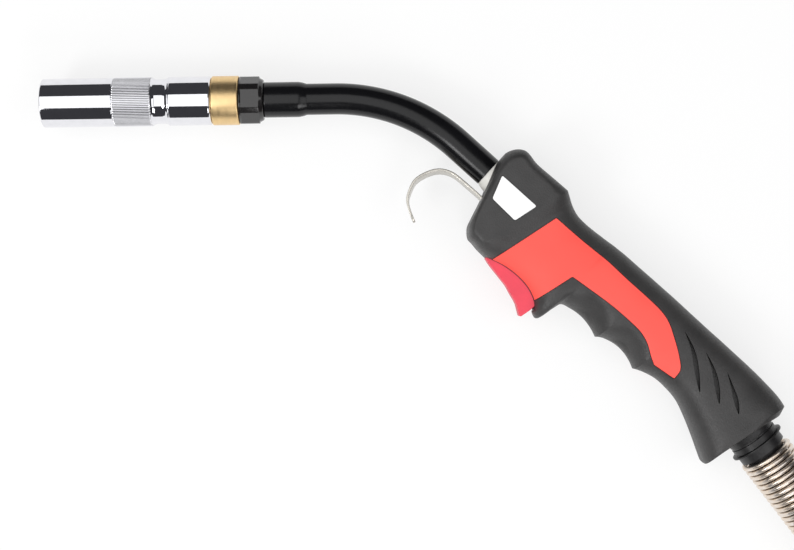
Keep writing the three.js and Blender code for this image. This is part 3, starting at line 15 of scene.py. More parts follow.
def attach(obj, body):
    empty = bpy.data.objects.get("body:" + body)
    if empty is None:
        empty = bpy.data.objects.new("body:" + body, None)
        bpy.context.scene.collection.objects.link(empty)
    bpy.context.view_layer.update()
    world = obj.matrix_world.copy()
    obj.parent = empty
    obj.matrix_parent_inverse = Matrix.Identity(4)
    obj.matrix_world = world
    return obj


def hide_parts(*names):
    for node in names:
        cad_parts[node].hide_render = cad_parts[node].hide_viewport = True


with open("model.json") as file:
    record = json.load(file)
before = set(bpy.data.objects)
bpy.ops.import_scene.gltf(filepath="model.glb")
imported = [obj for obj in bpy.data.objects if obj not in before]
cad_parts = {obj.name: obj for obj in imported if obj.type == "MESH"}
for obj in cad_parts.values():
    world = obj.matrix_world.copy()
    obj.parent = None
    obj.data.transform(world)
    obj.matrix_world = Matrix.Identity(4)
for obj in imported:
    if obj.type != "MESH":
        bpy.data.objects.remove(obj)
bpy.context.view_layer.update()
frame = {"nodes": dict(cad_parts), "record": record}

scene = bpy.context.scene

# %% [markdown]
# ## Places
# The source is in millimetres and hangs each group on another: the nozzle on the neck, the neck and the
# cable's collar on the handle. The same few turns are kept here as matrices, so a piece can be drawn on
# its own axis with round numbers and still land on its solid.

# %% Frames of the groups, in millimetres
def frame_at(x, y, degrees, z=0.0):
    return Matrix.Translation((x, y, z)) @ Matrix.Rotation(math.radians(degrees), 4, "Z")


BENCH = Matrix.Identity(4)
AXIS_HEIGHT, HANDLE_TURN, REAR_TURN = 22, -45, -7.5
HANDLE = frame_at(0, 0, HANDLE_TURN, AXIS_HEIGHT)
NECK = HANDLE @ frame_at(-24.8, 0.4, 3)
REAR = HANDLE @ frame_at(180.3, -0.1, REAR_TURN)
PLUG = frame_at(322, 10, 180, 23)

# %% The neck's line, and where the nozzle's mouth comes to lie
NECK_STRAIGHT = 21.8
NECK_RADIUS = 97.0
NECK_BEND = 42.9
NECK_ANGLE = math.radians(NECK_BEND)
NECK_ARC = NECK_RADIUS * NECK_ANGLE
NECK_FRONT = 14.9
NECK_COVER = 8.4
GAP = 0.3
NOZZLE_END = 91.2
SOCKET_DEPTH, RING_LENGTH, FLANGE_LENGTH, SLEEVE_LENGTH = 23.5, 14.3, 13, 22.8
SOCKET = NOZZLE_END - SOCKET_DEPTH
RING_START = NOZZLE_END + GAP
RING_END = RING_START + RING_LENGTH
FLANGE_START = RING_END + GAP
FLANGE_END = FLANGE_START + FLANGE_LENGTH
SLEEVE_START = FLANGE_END + GAP
SLEEVE_END = SLEEVE_START + SLEEVE_LENGTH
MOUTH = NECK_STRAIGHT + NECK_ARC + NECK_FRONT + SLEEVE_END + GAP


def neck_point(distance):
    """A point of the neck's centreline, by its distance in front of the handle."""
    turn = min(max((distance - NECK_STRAIGHT) / NECK_RADIUS, 0.0), NECK_ANGLE)
    before = min(distance, NECK_STRAIGHT)
    after = max(distance - NECK_STRAIGHT - NECK_ARC, 0.0)
    x = -before - NECK_RADIUS * math.sin(turn) - after * math.cos(turn)
    return x, -NECK_RADIUS * (1 - math.cos(turn)) - after * math.sin(turn), 0.0


FRONT = NECK @ frame_at(*neck_point(MOUTH)[:2], NECK_BEND)
print("nozzle mouth at", [round(v, 1) for v in FRONT.translation], "mm")

# %% [markdown]
# ## Camera
# The photograph looks straight down at a torch that lies on its side. A long lens 0.85 m above it gives the
# small amount of perspective that the picture shows.

# %% Camera
def put_in_scene(name, data):
    """An object with this data, linked to the scene, its place at zero."""
    thing = bpy.data.objects.new(name, data)
    scene.collection.objects.link(thing)
    return thing


camera = put_in_scene("camera", bpy.data.cameras.new("camera"))
camera.data.sensor_width = 36
camera.data.lens = 71.36
camera.location = (-0.0664, -0.0378, 0.872)
scene.camera = camera
scene.view_settings.view_transform = "Standard"
print("camera looks down from", round(camera.location.z, 3), "m")

# %% [markdown]
# ## Floor and light
# Polished metal is only as good as what it mirrors. A wide soft lamp overhead gives the bright band along the
# top of the nozzle, the dark world beside it gives the black bands, and the pale floor gives the light rims.
# Smaller lamps to the left, below and to the right of the picture light the sides. The floor adds some white
# of its own to what the camera and the metal see, and keeps the shadow.

# %% Helpers for shader nodes
def shader_nodes(owner):
    owner.use_nodes = True
    owner.node_tree.nodes.clear()
    return owner.node_tree.nodes, owner.node_tree.links


def new_node(nodes, kind, operation=None, **values):
    """A node of a kind, with its operation and the values of its named inputs."""
    made = nodes.new(kind)
    if operation:
        made.operation = operation
    for title, value in values.items():
        made.inputs[title.replace("_", " ")].default_value = value
    return made


def mixed(nodes, links, share, first, second):
    """A shader that is the first where the share is 0 and the second where it is 1."""
    mix = nodes.new("ShaderNodeMixShader")
    for k, source in enumerate((share, first, second)):
        links.new(source, mix.inputs[k])
    return mix.outputs[0]


# %% Floor, whose own white only the camera and mirrors see
floor_mesh = bpy.data.meshes.new("floor")
floor_mesh.from_pydata([(-6, -6, 0), (6, -6, 0), (6, 6, 0), (-6, 6, 0)], [], [(0, 1, 2, 3)])
floor = put_in_scene("floor", floor_mesh)
paper = bpy.data.materials.new("paper")
nodes, links = shader_nodes(paper)
matt = new_node(nodes, "ShaderNodeBsdfDiffuse", Color=(0.86, 0.86, 0.86, 1))
white = nodes.new("ShaderNodeEmission")
path = nodes.new("ShaderNodeLightPath")
direct, share = new_node(nodes, "ShaderNodeMath", "MAXIMUM"), new_node(nodes, "ShaderNodeMath", "MULTIPLY")
links.new(path.outputs["Is Camera Ray"], direct.inputs[0])
links.new(path.outputs["Is Glossy Ray"], direct.inputs[1])
links.new(direct.outputs[0], share.inputs[0])
share.inputs[1].default_value = 0.72
surface = mixed(nodes, links, share.outputs[0], matt.outputs[0], white.outputs[0])
links.new(surface, nodes.new("ShaderNodeOutputMaterial").inputs["Surface"])
floor_mesh.materials.append(paper)
print("floor is", floor.dimensions.x, "m wide")

# %% World: pale behind the object, dark in its mirrors, and a low even light
scene.world = bpy.data.worlds.new("studio")
nodes, links = shader_nodes(scene.world)
even = new_node(nodes, "ShaderNodeBackground", Color=(1, 1, 1, 1), Strength=0.42)
dark = new_node(nodes, "ShaderNodeBackground", Color=(0.045, 0.045, 0.05, 1))
backdrop, path = nodes.new("ShaderNodeBackground"), nodes.new("ShaderNodeLightPath")
unseen = mixed(nodes, links, path.outputs["Is Glossy Ray"], even.outputs[0], dark.outputs[0])
surface = mixed(nodes, links, path.outputs["Is Camera Ray"], unseen, backdrop.outputs[0])
links.new(surface, nodes.new("ShaderNodeOutputWorld").inputs["Surface"])
print("world:", scene.world.name)


# %% Lamps
def soft_lamp(name, place, target, width, length, power):
    lamp = bpy.data.lights.new(name, "AREA")
    lamp.shape = "RECTANGLE"
    lamp.size, lamp.size_y, lamp.energy = width, length, power
    holder = put_in_scene(name, lamp)
    holder.location = place
    holder.rotation_euler = (Vector(target) - Vector(place)).to_track_quat("-Z", "Y").to_euler()


soft_lamp("overhead", (-0.72, 0, 1.25), (-0.72, 0, 0), 1.7, 1.3, 9.5)
soft_lamp("left", (-1.1, -0.78, 1.35), (0, 0, 0), 0.55, 0.55, 9.5)
soft_lamp("below", (0.5, -1.7, 1.3), (0, -0.1, 0), 0.9, 0.9, 10.5)
soft_lamp("right", (0.85, -0.25, 1.25), (0.85, -0.25, 0), 1.1, 1.1, 5.5)

# %% [markdown]
# ## Building tools
# Most pieces are turned, swept along a line, or drawn out from an outline. Each helper takes millimetres in
# the piece's own frame, rounds its corners, welds doubles, turns the faces outwards, and keeps only the
# corners sharper than about 35 degrees crisp. The finished mesh holds the place; its object stays at zero.

# %% Meshes
MM = 0.001
SHARP = 35


def add_mesh(name, points, faces, place=BENCH):
    mesh = bpy.data.meshes.new(name)
    mesh.from_pydata([tuple(p) for p in points], [], faces)
    mesh.transform(Matrix.Scale(MM, 4) @ place)
    return put_in_scene(name, mesh)


def tidy(piece, sharp=SHARP):
    build = bmesh.new()
    build.from_mesh(piece.data)
    bmesh.ops.remove_doubles(build, verts=build.verts, dist=2e-6)
    bmesh.ops.dissolve_degenerate(build, edges=build.edges, dist=1e-7)
    many_sided = [face for face in build.faces if len(face.verts) > 4]
    bmesh.ops.triangulate(build, faces=many_sided, ngon_method="EAR_CLIP")
    bmesh.ops.recalc_face_normals(build, faces=build.faces)
    for face in build.faces:
        face.smooth = True
    for edge in build.edges:
        edge.smooth = edge.calc_face_angle(0.0) < math.radians(sharp)
    build.to_mesh(piece.data)
    build.free()
    return piece


# %% Faces between rings of points
def ring_faces(rows, count, closed=False):
    """Four-sided faces between neighbouring rings of equal count, the last joined to the first if closed."""
    faces = []
    for row in range(rows if closed else rows - 1):
        a, b = row * count, (row + 1) % rows * count
        for k in range(count):
            n = (k + 1) % count
            faces.append((a + k, a + n, b + n, b + k))
    return faces


def capped_faces(rows, count):
    """The same faces with one more over each end."""
    ends = [tuple(range(count)), tuple(range((rows - 1) * count, rows * count))]
    return ring_faces(rows, count) + ends


# %% Rounded outlines and smooth lines
NEARLY_STRAIGHT = 0.12


def eased(outline, radius, steps=4):
    """The outline with each corner rounded off, by no more than two fifths of its shorter side."""
    corners = [Vector(p) for p in outline]
    made = []
    for k, corner in enumerate(corners):
        back = corners[k - 1] - corner
        ahead = corners[(k + 1) % len(corners)] - corner
        if not back.length or not ahead.length or math.pi - back.angle(ahead, 0.0) < NEARLY_STRAIGHT:
            made.append(tuple(corner))
            continue
        reach = min(radius, 0.4 * back.length, 0.4 * ahead.length)
        first, last = corner + back.normalized() * reach, corner + ahead.normalized() * reach
        for step in range(steps + 1):
            t = step / steps
            made.append(tuple(first * (1 - t) ** 2 + corner * 2 * t * (1 - t) + last * t * t))
    return made


def smooth_line(points, steps=8):
    """Points along a smooth line through the given ones (a centripetal spline)."""
    p = np.array(points, float)
    p = np.vstack([2 * p[0] - p[1], p, 2 * p[-1] - p[-2]])
    made = []
    for i in range(1, len(p) - 2):
        q = p[i - 1:i + 3]
        t = np.concatenate([[0], np.cumsum(np.sqrt(np.linalg.norm(np.diff(q, axis=0), axis=1)))])
        for step in range(steps):
            s = t[1] + (t[2] - t[1]) * step / steps
            a = [(q[k] * (t[k + 1] - s) + q[k + 1] * (s - t[k])) / (t[k + 1] - t[k]) for k in range(3)]
            b = [(a[k] * (t[k + 2] - s) + a[k + 1] * (s - t[k])) / (t[k + 2] - t[k]) for k in range(2)]
            made.append((b[0] * (t[2] - s) + b[1] * (s - t[1])) / (t[2] - t[1]))
    made.append(p[-2])
    return np.array(made)


# %% Turned pieces
def turned(name, profile, place, sides=96, round_by=0.35, limit=None):
    """A closed profile of places along x and radii, turned about x. A limit gives the most at each angle."""
    rows = eased(profile, round_by) if round_by else profile
    points = []
    for x, radius in rows:
        for k in range(sides):
            angle = 2 * math.pi * k / sides
            r = radius if limit is None else min(radius, limit(angle, x))
            points.append((x, r * math.cos(angle), r * math.sin(angle)))
    return tidy(add_mesh(name, points, ring_faces(len(rows), sides, True), place))


# %% Swept pieces
def directions(line):
    """The unit vectors along a line of points."""
    ways = np.gradient(np.array(line, float), axis=0)
    return ways / np.linalg.norm(ways, axis=1)[:, None]


def swept(name, path, radius, place=BENCH, sides=32):
    """A round bar along a path, its rings carried on without twist, closed at both ends."""
    path, along = np.array(path, float), directions(path)
    side = np.cross(along[0], (0, 0, 1.0))
    angles = 2 * np.pi * np.arange(sides) / sides
    points = []
    for at, way in zip(path, along):
        side = side - way * (side @ way)
        side /= np.linalg.norm(side)
        up = np.cross(way, side)
        points.extend(at + radius * (np.outer(np.cos(angles), side) + np.outer(np.sin(angles), up)))
    return tidy(add_mesh(name, points, capped_faces(len(path), sides), place))


# %% Drawn-out pieces
def outward(outline):
    """The unit vector out of each corner of an anticlockwise outline."""
    p = np.array(outline, float)
    way = np.roll(p, -1, axis=0) - np.roll(p, 1, axis=0)
    way /= np.linalg.norm(way, axis=1)[:, None]
    return np.stack([way[:, 1], -way[:, 0]], axis=1)


def drawn_out(name, outline, layers, place=HANDLE):
    """An outline drawn out along z through layers of height and inset, closed at both ends."""
    p, out = np.array(outline, float), outward(outline)
    points = []
    for height, inset in layers:
        flat = p - out * inset
        points.extend(np.column_stack([flat, np.full(len(p), float(height))]))
    return tidy(add_mesh(name, points, capped_faces(len(layers), len(p)), place))


def box(low, high, place=HANDLE):
    (left, front, bottom), (right, back, top) = low, high
    corners = [(left, front), (right, front), (right, back), (left, back)]
    return drawn_out("box", corners, [(bottom, 0), (top, 0)], place)


# %% Carving
def keep_result(piece, step):
    """Makes what a modifier gives the piece's plain mesh, and takes the modifier away."""
    result = bpy.data.meshes.new_from_object(piece.evaluated_get(bpy.context.evaluated_depsgraph_get()))
    piece.modifiers.remove(step)
    piece.data = result


def carve(piece, tool, operation="DIFFERENCE"):
    """Cuts the tool from a piece, joins it on, or keeps what they share; the tool is used up."""
    step = piece.modifiers.new("carve", "BOOLEAN")
    step.operation, step.solver, step.object = operation, "MANIFOLD", tool
    keep_result(piece, step)
    bpy.data.objects.remove(tool)


print("tools ready")

# %% [markdown]
# ## Finishes
# Every finish starts from a colour and a roughness, which vary a little over the surface the way moulded,
# turned or plated material does: a broad mottle in the colour, a finer one in the roughness, and a fine
# relief. The noise reads object coordinates in metres, so the grain has its real size on every piece.

# %% A finish from nodes
def screen(red, green, blue):
    """A colour as a screen shows it, 0 to 255, in the linear values that shaders mix."""
    return [((c / 255 + 0.055) / 1.055) ** 2.4 if c > 10 else c / 255 / 12.92 for c in (red, green, blue)]


NOISE_LOW, NOISE_HIGH = 0.3, 0.7


def finish(name, colour, roughness, metallic, mottle, mottle_size, spread, grain_size, relief, depth,
           stretch=(1, 1, 1), specular=0.5, tint=None):
    material = bpy.data.materials.new(name)
    nodes, links = shader_nodes(material)
    shader = new_node(nodes, "ShaderNodeBsdfPrincipled", Metallic=metallic, Specular_IOR_Level=specular)
    links.new(shader.outputs[0], nodes.new("ShaderNodeOutputMaterial").inputs["Surface"])
    where, turn = nodes.new("ShaderNodeTexCoord"), new_node(nodes, "ShaderNodeMapping", Scale=stretch)
    links.new(where.outputs["Object"], turn.inputs["Vector"])
    broad = new_node(nodes, "ShaderNodeTexNoise", Scale=1 / mottle_size, Detail=4)
    fine = new_node(nodes, "ShaderNodeTexNoise", Scale=1 / grain_size, Detail=3)
    links.new(where.outputs["Object"], broad.inputs["Vector"])
    links.new(turn.outputs["Vector"], fine.inputs["Vector"])
    ramp = nodes.new("ShaderNodeValToRGB")
    low, high = ramp.color_ramp.elements
    low.position, high.position = NOISE_LOW, NOISE_HIGH
    low.color = [c * (1 - mottle) for c in screen(*colour)] + [1]
    high.color = [min(c * (1 + mottle), 1) for c in screen(*(tint or colour))] + [1]
    links.new(broad.outputs["Fac"], ramp.inputs["Fac"])
    links.new(ramp.outputs["Color"], shader.inputs["Base Color"])
    rough = new_node(nodes, "ShaderNodeMapRange", From_Min=NOISE_LOW, From_Max=NOISE_HIGH,
                     To_Min=max(roughness - spread, 0.01), To_Max=roughness + spread)
    links.new(fine.outputs["Fac"], rough.inputs["Value"])
    links.new(rough.outputs["Result"], shader.inputs["Roughness"])
    bump = new_node(nodes, "ShaderNodeBump", Strength=relief, Distance=depth)
    links.new(fine.outputs["Fac"], bump.inputs["Height"])
    links.new(bump.outputs["Normal"], shader.inputs["Normal"])
    return material


# %% The finishes of this torch
LATHE = {"stretch": (900, 1, 1)}
# colour, roughness, metal, mottle and its size, spread of the roughness, grain, relief and its depth
FINISHES = {
    "chrome": ((232, 232, 236), 0.05, 1, 0.03, 0.004, 0.03, 0.0012, 0.05, 0.00003),
    "steel": ((196, 192, 184), 0.3, 1, 0.1, 0.006, 0.08, 0.0008, 0.12, 0.00004),
    "nickel": ((246, 238, 230), 0.34, 1, 0.08, 0.004, 0.08, 0.0015, 0.1, 0.00005),
    "brass": ((244, 212, 158), 0.38, 1, 0.08, 0.003, 0.06, 1.0, 0.12, 0.00003),
    "copper": ((214, 140, 100), 0.3, 1, 0.1, 0.004, 0.1, 1.0, 0.2, 0.00004),
    "neck_black": ((14, 14, 16), 0.22, 0, 0.2, 0.03, 0.03, 0.002, 0.05, 0.00003),
    "insulator_black": ((24, 22, 22), 0.18, 0, 0.15, 0.01, 0.06, 0.0009, 0.1, 0.0002),
    "collar_black": ((30, 29, 30), 0.38, 0, 0.15, 0.01, 0.06, 0.0008, 0.12, 0.0002),
    "handle_black": ((52, 51, 51), 0.46, 0, 0.16, 0.012, 0.09, 0.0008, 0.6, 0.0003),
    "red_inlay": ((250, 88, 78), 0.62, 0, 0.03, 0.03, 0.05, 0.0005, 0.22, 0.00012),
    "red_trigger": ((226, 64, 84), 0.5, 0, 0.05, 0.01, 0.05, 0.0006, 0.15, 0.0001),
    "white_plate": ((240, 240, 240), 0.35, 0, 0.015, 0.01, 0.05, 0.0008, 0.04, 0.0002),
    "white_nylon": ((232, 230, 224), 0.42, 0, 0.03, 0.004, 0.05, 0.0006, 0.08, 0.0002),
    "black_plastic": ((38, 38, 38), 0.45, 0, 0.12, 0.01, 0.06, 0.0006, 0.15, 0.0002),
    "cable_rubber": ((34, 34, 35), 0.55, 0, 0.18, 0.02, 0.08, 0.0009, 0.2, 0.00015),
    "boot_rubber": ((38, 38, 39), 0.6, 0, 0.12, 0.01, 0.07, 0.0007, 0.2, 0.00015),
    "tie_black": ((36, 36, 40), 0.85, 0, 0.25, 0.002, 0.05, 0.0005, 0.6, 0.0002),
    "plug_grey": ((78, 80, 84), 0.48, 0, 0.08, 0.02, 0.06, 0.0005, 0.3, 0.00015),
    "seal_rubber": ((30, 30, 30), 0.5, 0, 0.1, 0.004, 0.05, 0.0005, 0.15, 0.0002),
    "ceramic": ((226, 218, 202), 0.6, 0, 0.05, 0.004, 0.08, 0.0004, 0.25, 0.0001),
}
EXTRAS = {
    "nickel": {"tint": (224, 208, 190)}, "brass": LATHE | {"tint": (238, 206, 152)}, "copper": LATHE,
    "neck_black": {"specular": 0.36}, "insulator_black": {"specular": 0.8}, "red_inlay": {"specular": 0.35},
}
finishes = {name: finish(name, *row, **EXTRAS.get(name, {})) for name, row in FINISHES.items()}
print(len(finishes), "finishes")


# %% Giving a piece its finish and its body, and hiding the solids that it replaces
def stands_for(piece, slot, *solids, body="torch_body"):
    """Gives a finished piece its finish and the body that it rides on, and hides the solids that it replaces."""
    piece.data.materials.clear()
    piece.data.materials.append(finishes[slot])
    for face in piece.data.polygons:
        face.material_index = 0
    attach(piece, body)
    if solids:
        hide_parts(*solids)
    print(piece.name, len(piece.data.polygons), "faces")
    return piece


# %% Solids that stay as they are get the same finishes
for row in frame["record"]["subparts"]:
    solid = frame["nodes"][row["node"]]
    solid.data.materials.clear()
    solid.data.materials.append(finishes[row["material_slot"]])
print(len(frame["nodes"]), "solids have a finish")

# %% [markdown]
# ## Cable
# The cable comes first among the pieces, because its length decides how much room the part takes. It is a
# 3 m lead: what the picture doesn't show is wound into a coil of two layers, as it would be for storage. A
# line of points follows the coil's rule, spiralling in, climbing onto itself and spiralling out again, and a
# round bar is swept along it.

# %% The coil's rule, in millimetres
CABLE = 19.0
RING_FACE, WIRE, GUARD_PITCH, GUARD_TURNS = 6.1, 2.6, 3.08, 38
GUARD_START = RING_FACE + GAP + WIRE / 2
GUARD_END = GUARD_START + GUARD_TURNS * GUARD_PITCH + WIRE / 2
COIL_RADIUS, COIL_PITCH, COIL_LOW, COIL_LAYER = 134.0, 20.0, 11.0, 19.6
COIL_IN, COIL_TURNS, COIL_SETTLE, COIL_STEPS = 2.1, 3.46, 70 / 360, 330
LEAD = 45.0


def heading(degrees):
    return Vector((math.cos(math.radians(degrees)), math.sin(math.radians(degrees)), 0))


def eased_step(x, low, high):
    t = min(max((x - low) / (high - low), 0.0), 1.0)
    return t * t * (3 - 2 * t)


def coil_radius(turns):
    return COIL_RADIUS - COIL_PITCH * min(turns, 2 * COIL_IN - turns)


def coil_lean(turns):
    return math.degrees(math.atan(COIL_PITCH / (2 * math.pi * coil_radius(turns))))


def coil_point(turns):
    height = AXIS_HEIGHT + (COIL_LOW - AXIS_HEIGHT) * eased_step(turns, 0, COIL_SETTLE)
    height += COIL_LAYER * eased_step(turns, COIL_IN - 0.25, COIL_IN + 0.25)
    point = coil_centre + heading(coil_angle + 360 * turns) * coil_radius(turns)
    return Vector((point.x, point.y, height))


# %% Route of the free cable
lead_start = REAR @ Vector((GUARD_END + GAP, 0, 0))
lead_way = HANDLE_TURN + REAR_TURN
coil_start = lead_start + heading(lead_way) * (LEAD + GAP + CABLE)
coil_angle = lead_way - 90 - coil_lean(0)
coil_centre = coil_start - heading(coil_angle) * COIL_RADIUS
coil = [coil_point(COIL_TURNS * k / COIL_STEPS) for k in range(COIL_STEPS + 1)]
tail_way = heading(coil_angle + 360 * COIL_TURNS + 90 - coil_lean(COIL_TURNS))
tail_start = coil[-1] + tail_way * (CABLE + GAP)
tail = smooth_line([tail_start, tail_start + tail_way * CABLE, (441, -96, 30.6), (426, -55, 30.2),
                    (405, -21.5, 28), (373, 2, 24.6), (345, 9.7, 23.1), (322, 10, 23), (291, 10, 23)])
lead = [lead_start + heading(lead_way) * LEAD * k / 6 for k in range(7)]
cable_path = [tuple(p) for p in lead + coil] + [tuple(p) for p in tail]
cable_length = sum(math.dist(a, b) for a, b in zip(cable_path, cable_path[1:])) * MM
print("free cable", round(cable_length, 3), "m")

# %% Cable
cable = swept("cable", cable_path, CABLE / 2, sides=28)
stands_for(cable, "cable_rubber", "cable_lead", "cable_coil", "cable_tail")

# %% [markdown]
# ## Ties
# Two hook-and-loop straps hold the turns of the coil together. Each is a flat band whose inner line is a
# rounded rectangle round the turns.

# %% Ties
TIE_WIDTH, TIE_THICKNESS, TIE_CLEARANCE = 8.0, 0.9, 0.9
TIE_STOPS, TIE_STEPS = (9, 18), 83
ties = []
for number, stop in enumerate(TIE_STOPS, 1):
    at = stop * COIL_TURNS / TIE_STEPS
    radii = [coil_radius(at + k) for k in range(4) if at + k < COIL_TURNS]
    reach = CABLE / 2 + TIE_CLEARANCE
    inner, outer = min(radii) - reach, max(radii) + reach
    floor_height, top = COIL_LOW - CABLE / 2 - GAP, COIL_LOW + COIL_LAYER + CABLE / 2 + GAP
    loop = eased([(inner, floor_height), (outer, floor_height), (outer, top), (inner, top)], 7, 8)
    out = outward(loop)
    points = []
    for side, lift in ((-1, 0), (1, 0), (1, TIE_THICKNESS), (-1, TIE_THICKNESS)):
        points.extend((x + n[0] * lift, side * TIE_WIDTH / 2, z + n[1] * lift) for (x, z), n in zip(loop, out))
    place = frame_at(coil_centre.x, coil_centre.y, coil_angle + 360 * at)
    tie = tidy(add_mesh(f"tie_{number}", points, ring_faces(4, len(loop), True), place))
    ties.append(stands_for(tie, "tie_black", f"coil_tie_{number}"))

# %% [markdown]
# ## Gas nozzle
# A chromed tube, turned in one piece: a plain front, a band of fine straight knurling for the fingers, a
# round-bottomed groove and a plain rear. The tube is a profile turned about its axis. The knurling repeats,
# so one small rib is drawn and Geometry Nodes copy it round the band.

# %% Nozzle tube
NOZZLE = 13.1
KNURL_FROM, KNURL_TO = 38.2, 59.2
groove = [(KNURL_TO + x, NOZZLE - depth) for x, depth in (
    (0, 0), (1, 0.75), (2.2, 1.1), (6.4, 1.1), (7.8, 0.75), (8.9, 0), (9.3, 0), (9.6, 0.25), (9.9, 0))]
nozzle = turned("nozzle_tube", [
    (0, 10), (0, NOZZLE - 0.5), (0.5, NOZZLE), (KNURL_FROM, NOZZLE), (KNURL_FROM + 0.2, NOZZLE - 0.15),
    (KNURL_TO - 0.2, NOZZLE - 0.15), *groove, (NOZZLE_END - 1, NOZZLE), (NOZZLE_END, NOZZLE - 0.7),
    (NOZZLE_END, 11.3), (SOCKET, 11.3), (SOCKET, 10)], FRONT, 160, 0.4)
stands_for(nozzle, "chrome", "gas_nozzle", body="nozzle")


# %% Helpers for trees of geometry nodes
def new_tree(name, **inputs):
    """A tree with named inputs and one result, and the node that holds the inputs."""
    tree = bpy.data.node_groups.new(name, "GeometryNodeTree")
    for title, kind in inputs.items():
        tree.interface.new_socket(title, in_out="INPUT", socket_type=f"NodeSocket{kind}")
    tree.interface.new_socket("Result", in_out="OUTPUT", socket_type="NodeSocketGeometry")
    return tree, tree.nodes.new("NodeGroupInput")


def give_back(tree, given, shape):
    """Ends a tree: the shape as real geometry, in the finish that was asked for, is its result."""
    real, painted = tree.nodes.new("GeometryNodeRealizeInstances"), tree.nodes.new("GeometryNodeSetMaterial")
    tree.links.new(shape, real.inputs["Geometry"])
    tree.links.new(real.outputs["Geometry"], painted.inputs["Geometry"])
    tree.links.new(given.outputs["Finish"], painted.inputs["Material"])
    tree.links.new(painted.outputs["Geometry"], tree.nodes.new("NodeGroupOutput").inputs["Result"])
    return tree


# %% A tree that copies one rib round the x axis
def ring_of_ribs_tree():
    tree, given = new_tree("ring_of_ribs", Rib="Geometry", Count="Int", Radius="Float", Finish="Material")
    nodes, links = tree.nodes, tree.links
    line = new_node(nodes, "GeometryNodeMeshLine", Offset=(0, 0, 0))
    lift, away = nodes.new("GeometryNodeSetPosition"), nodes.new("ShaderNodeCombineXYZ")
    step, angle = new_node(nodes, "ShaderNodeMath", "DIVIDE"), new_node(nodes, "ShaderNodeMath", "MULTIPLY")
    step.inputs[0].default_value = 2 * math.pi
    for title, target in (("Rib", lift.inputs["Geometry"]), ("Radius", away.inputs["Z"]),
                          ("Count", line.inputs["Count"]), ("Count", step.inputs[1])):
        links.new(given.outputs[title], target)
    links.new(away.outputs["Vector"], lift.inputs["Offset"])
    links.new(nodes.new("GeometryNodeInputIndex").outputs["Index"], angle.inputs[0])
    links.new(step.outputs[0], angle.inputs[1])
    turn, copies = nodes.new("ShaderNodeCombineXYZ"), nodes.new("GeometryNodeInstanceOnPoints")
    links.new(angle.outputs[0], turn.inputs["X"])
    links.new(line.outputs["Mesh"], copies.inputs["Points"])
    links.new(lift.outputs["Geometry"], copies.inputs["Instance"])
    links.new(turn.outputs["Vector"], copies.inputs["Rotation"])
    return give_back(tree, given, copies.outputs["Instances"])


# %% Running a tree
def grown_by_nodes(piece, tree, place, **sizes):
    """Runs a tree on a piece with named sizes, keeps the result as a plain mesh, and puts it in place."""
    step = piece.modifiers.new("nodes", "NODES")
    step.node_group = tree
    sockets = {item.name: item.identifier for item in tree.interface.items_tree if item.in_out == "INPUT"}
    for title, value in sizes.items():
        step[sockets[title]] = value
    keep_result(piece, step)
    piece.data.transform(Matrix.Scale(MM, 4) @ place)


rib_ring = ring_of_ribs_tree()
print("tree:", [item.name for item in rib_ring.interface.items_tree])


# %% Knurling
RIB_SUNK = 0.12


def rib(name, start, end, width, height, round_by):
    """One straight rib along x with a rounded back and rounded ends, its foot sunk a little, in millimetres."""
    arc = [(math.cos(a) * width / 2, math.sin(a)) for a in np.linspace(math.pi, 0, 7)]
    shares = (0, 0.12, 0.45, 1)
    stops = [(start + round_by * s, s) for s in shares] + [(end - round_by * s, s) for s in reversed(shares)]
    points = []
    for x, share in stops:
        rise = math.sqrt(1 - (1 - share) ** 2)
        points.extend((x, y * (0.5 + 0.5 * rise), z * height * rise - RIB_SUNK) for y, z in arc)
    mesh = bpy.data.meshes.new(name)
    mesh.from_pydata(points, [], ring_faces(len(stops), len(arc)))
    return tidy(put_in_scene(name, mesh), 60)


knurl = rib("knurl", KNURL_FROM + 0.25, KNURL_TO - 0.25, 0.96, 0.2, 0.9)
grown_by_nodes(knurl, rib_ring, FRONT, Count=80, Radius=NOZZLE, Finish=finishes["chrome"])
stands_for(knurl, "chrome", body="nozzle")

# %% [markdown]
# ## What the nozzle sits on
# Behind the nozzle come a turned brass ring, a black insulator with six spanner flats, and the sleeve that
# ends the neck's cover. Inside the mouth show the copper tip and its brass holder, and the ceramic gas ring,
# which stays as its solid. The rest is turned; the flats come from a radius that no angle may pass.

# %% Seat ring, insulator and sleeve
seat_ring = turned("seat_ring", [
    (SOCKET + GAP, 9.3), (SOCKET + GAP, 11), (RING_START, 11), (RING_START, 12.9), (RING_START + 0.3, 13.2),
    (RING_END - 0.4, 13.2), (RING_END, 12.8), (RING_END, 9.3)], FRONT, 128, 0.25)
stands_for(seat_ring, "brass", "nozzle_seat_ring")


def spanner_flats(angle, x):
    """The most radius at an angle: round at the rim in front, a hexagon behind it."""
    sixth = angle % (math.pi / 3) - math.pi / 6
    return 11.8 / math.cos(sixth) if x > FLANGE_START + 1.2 else 12.7


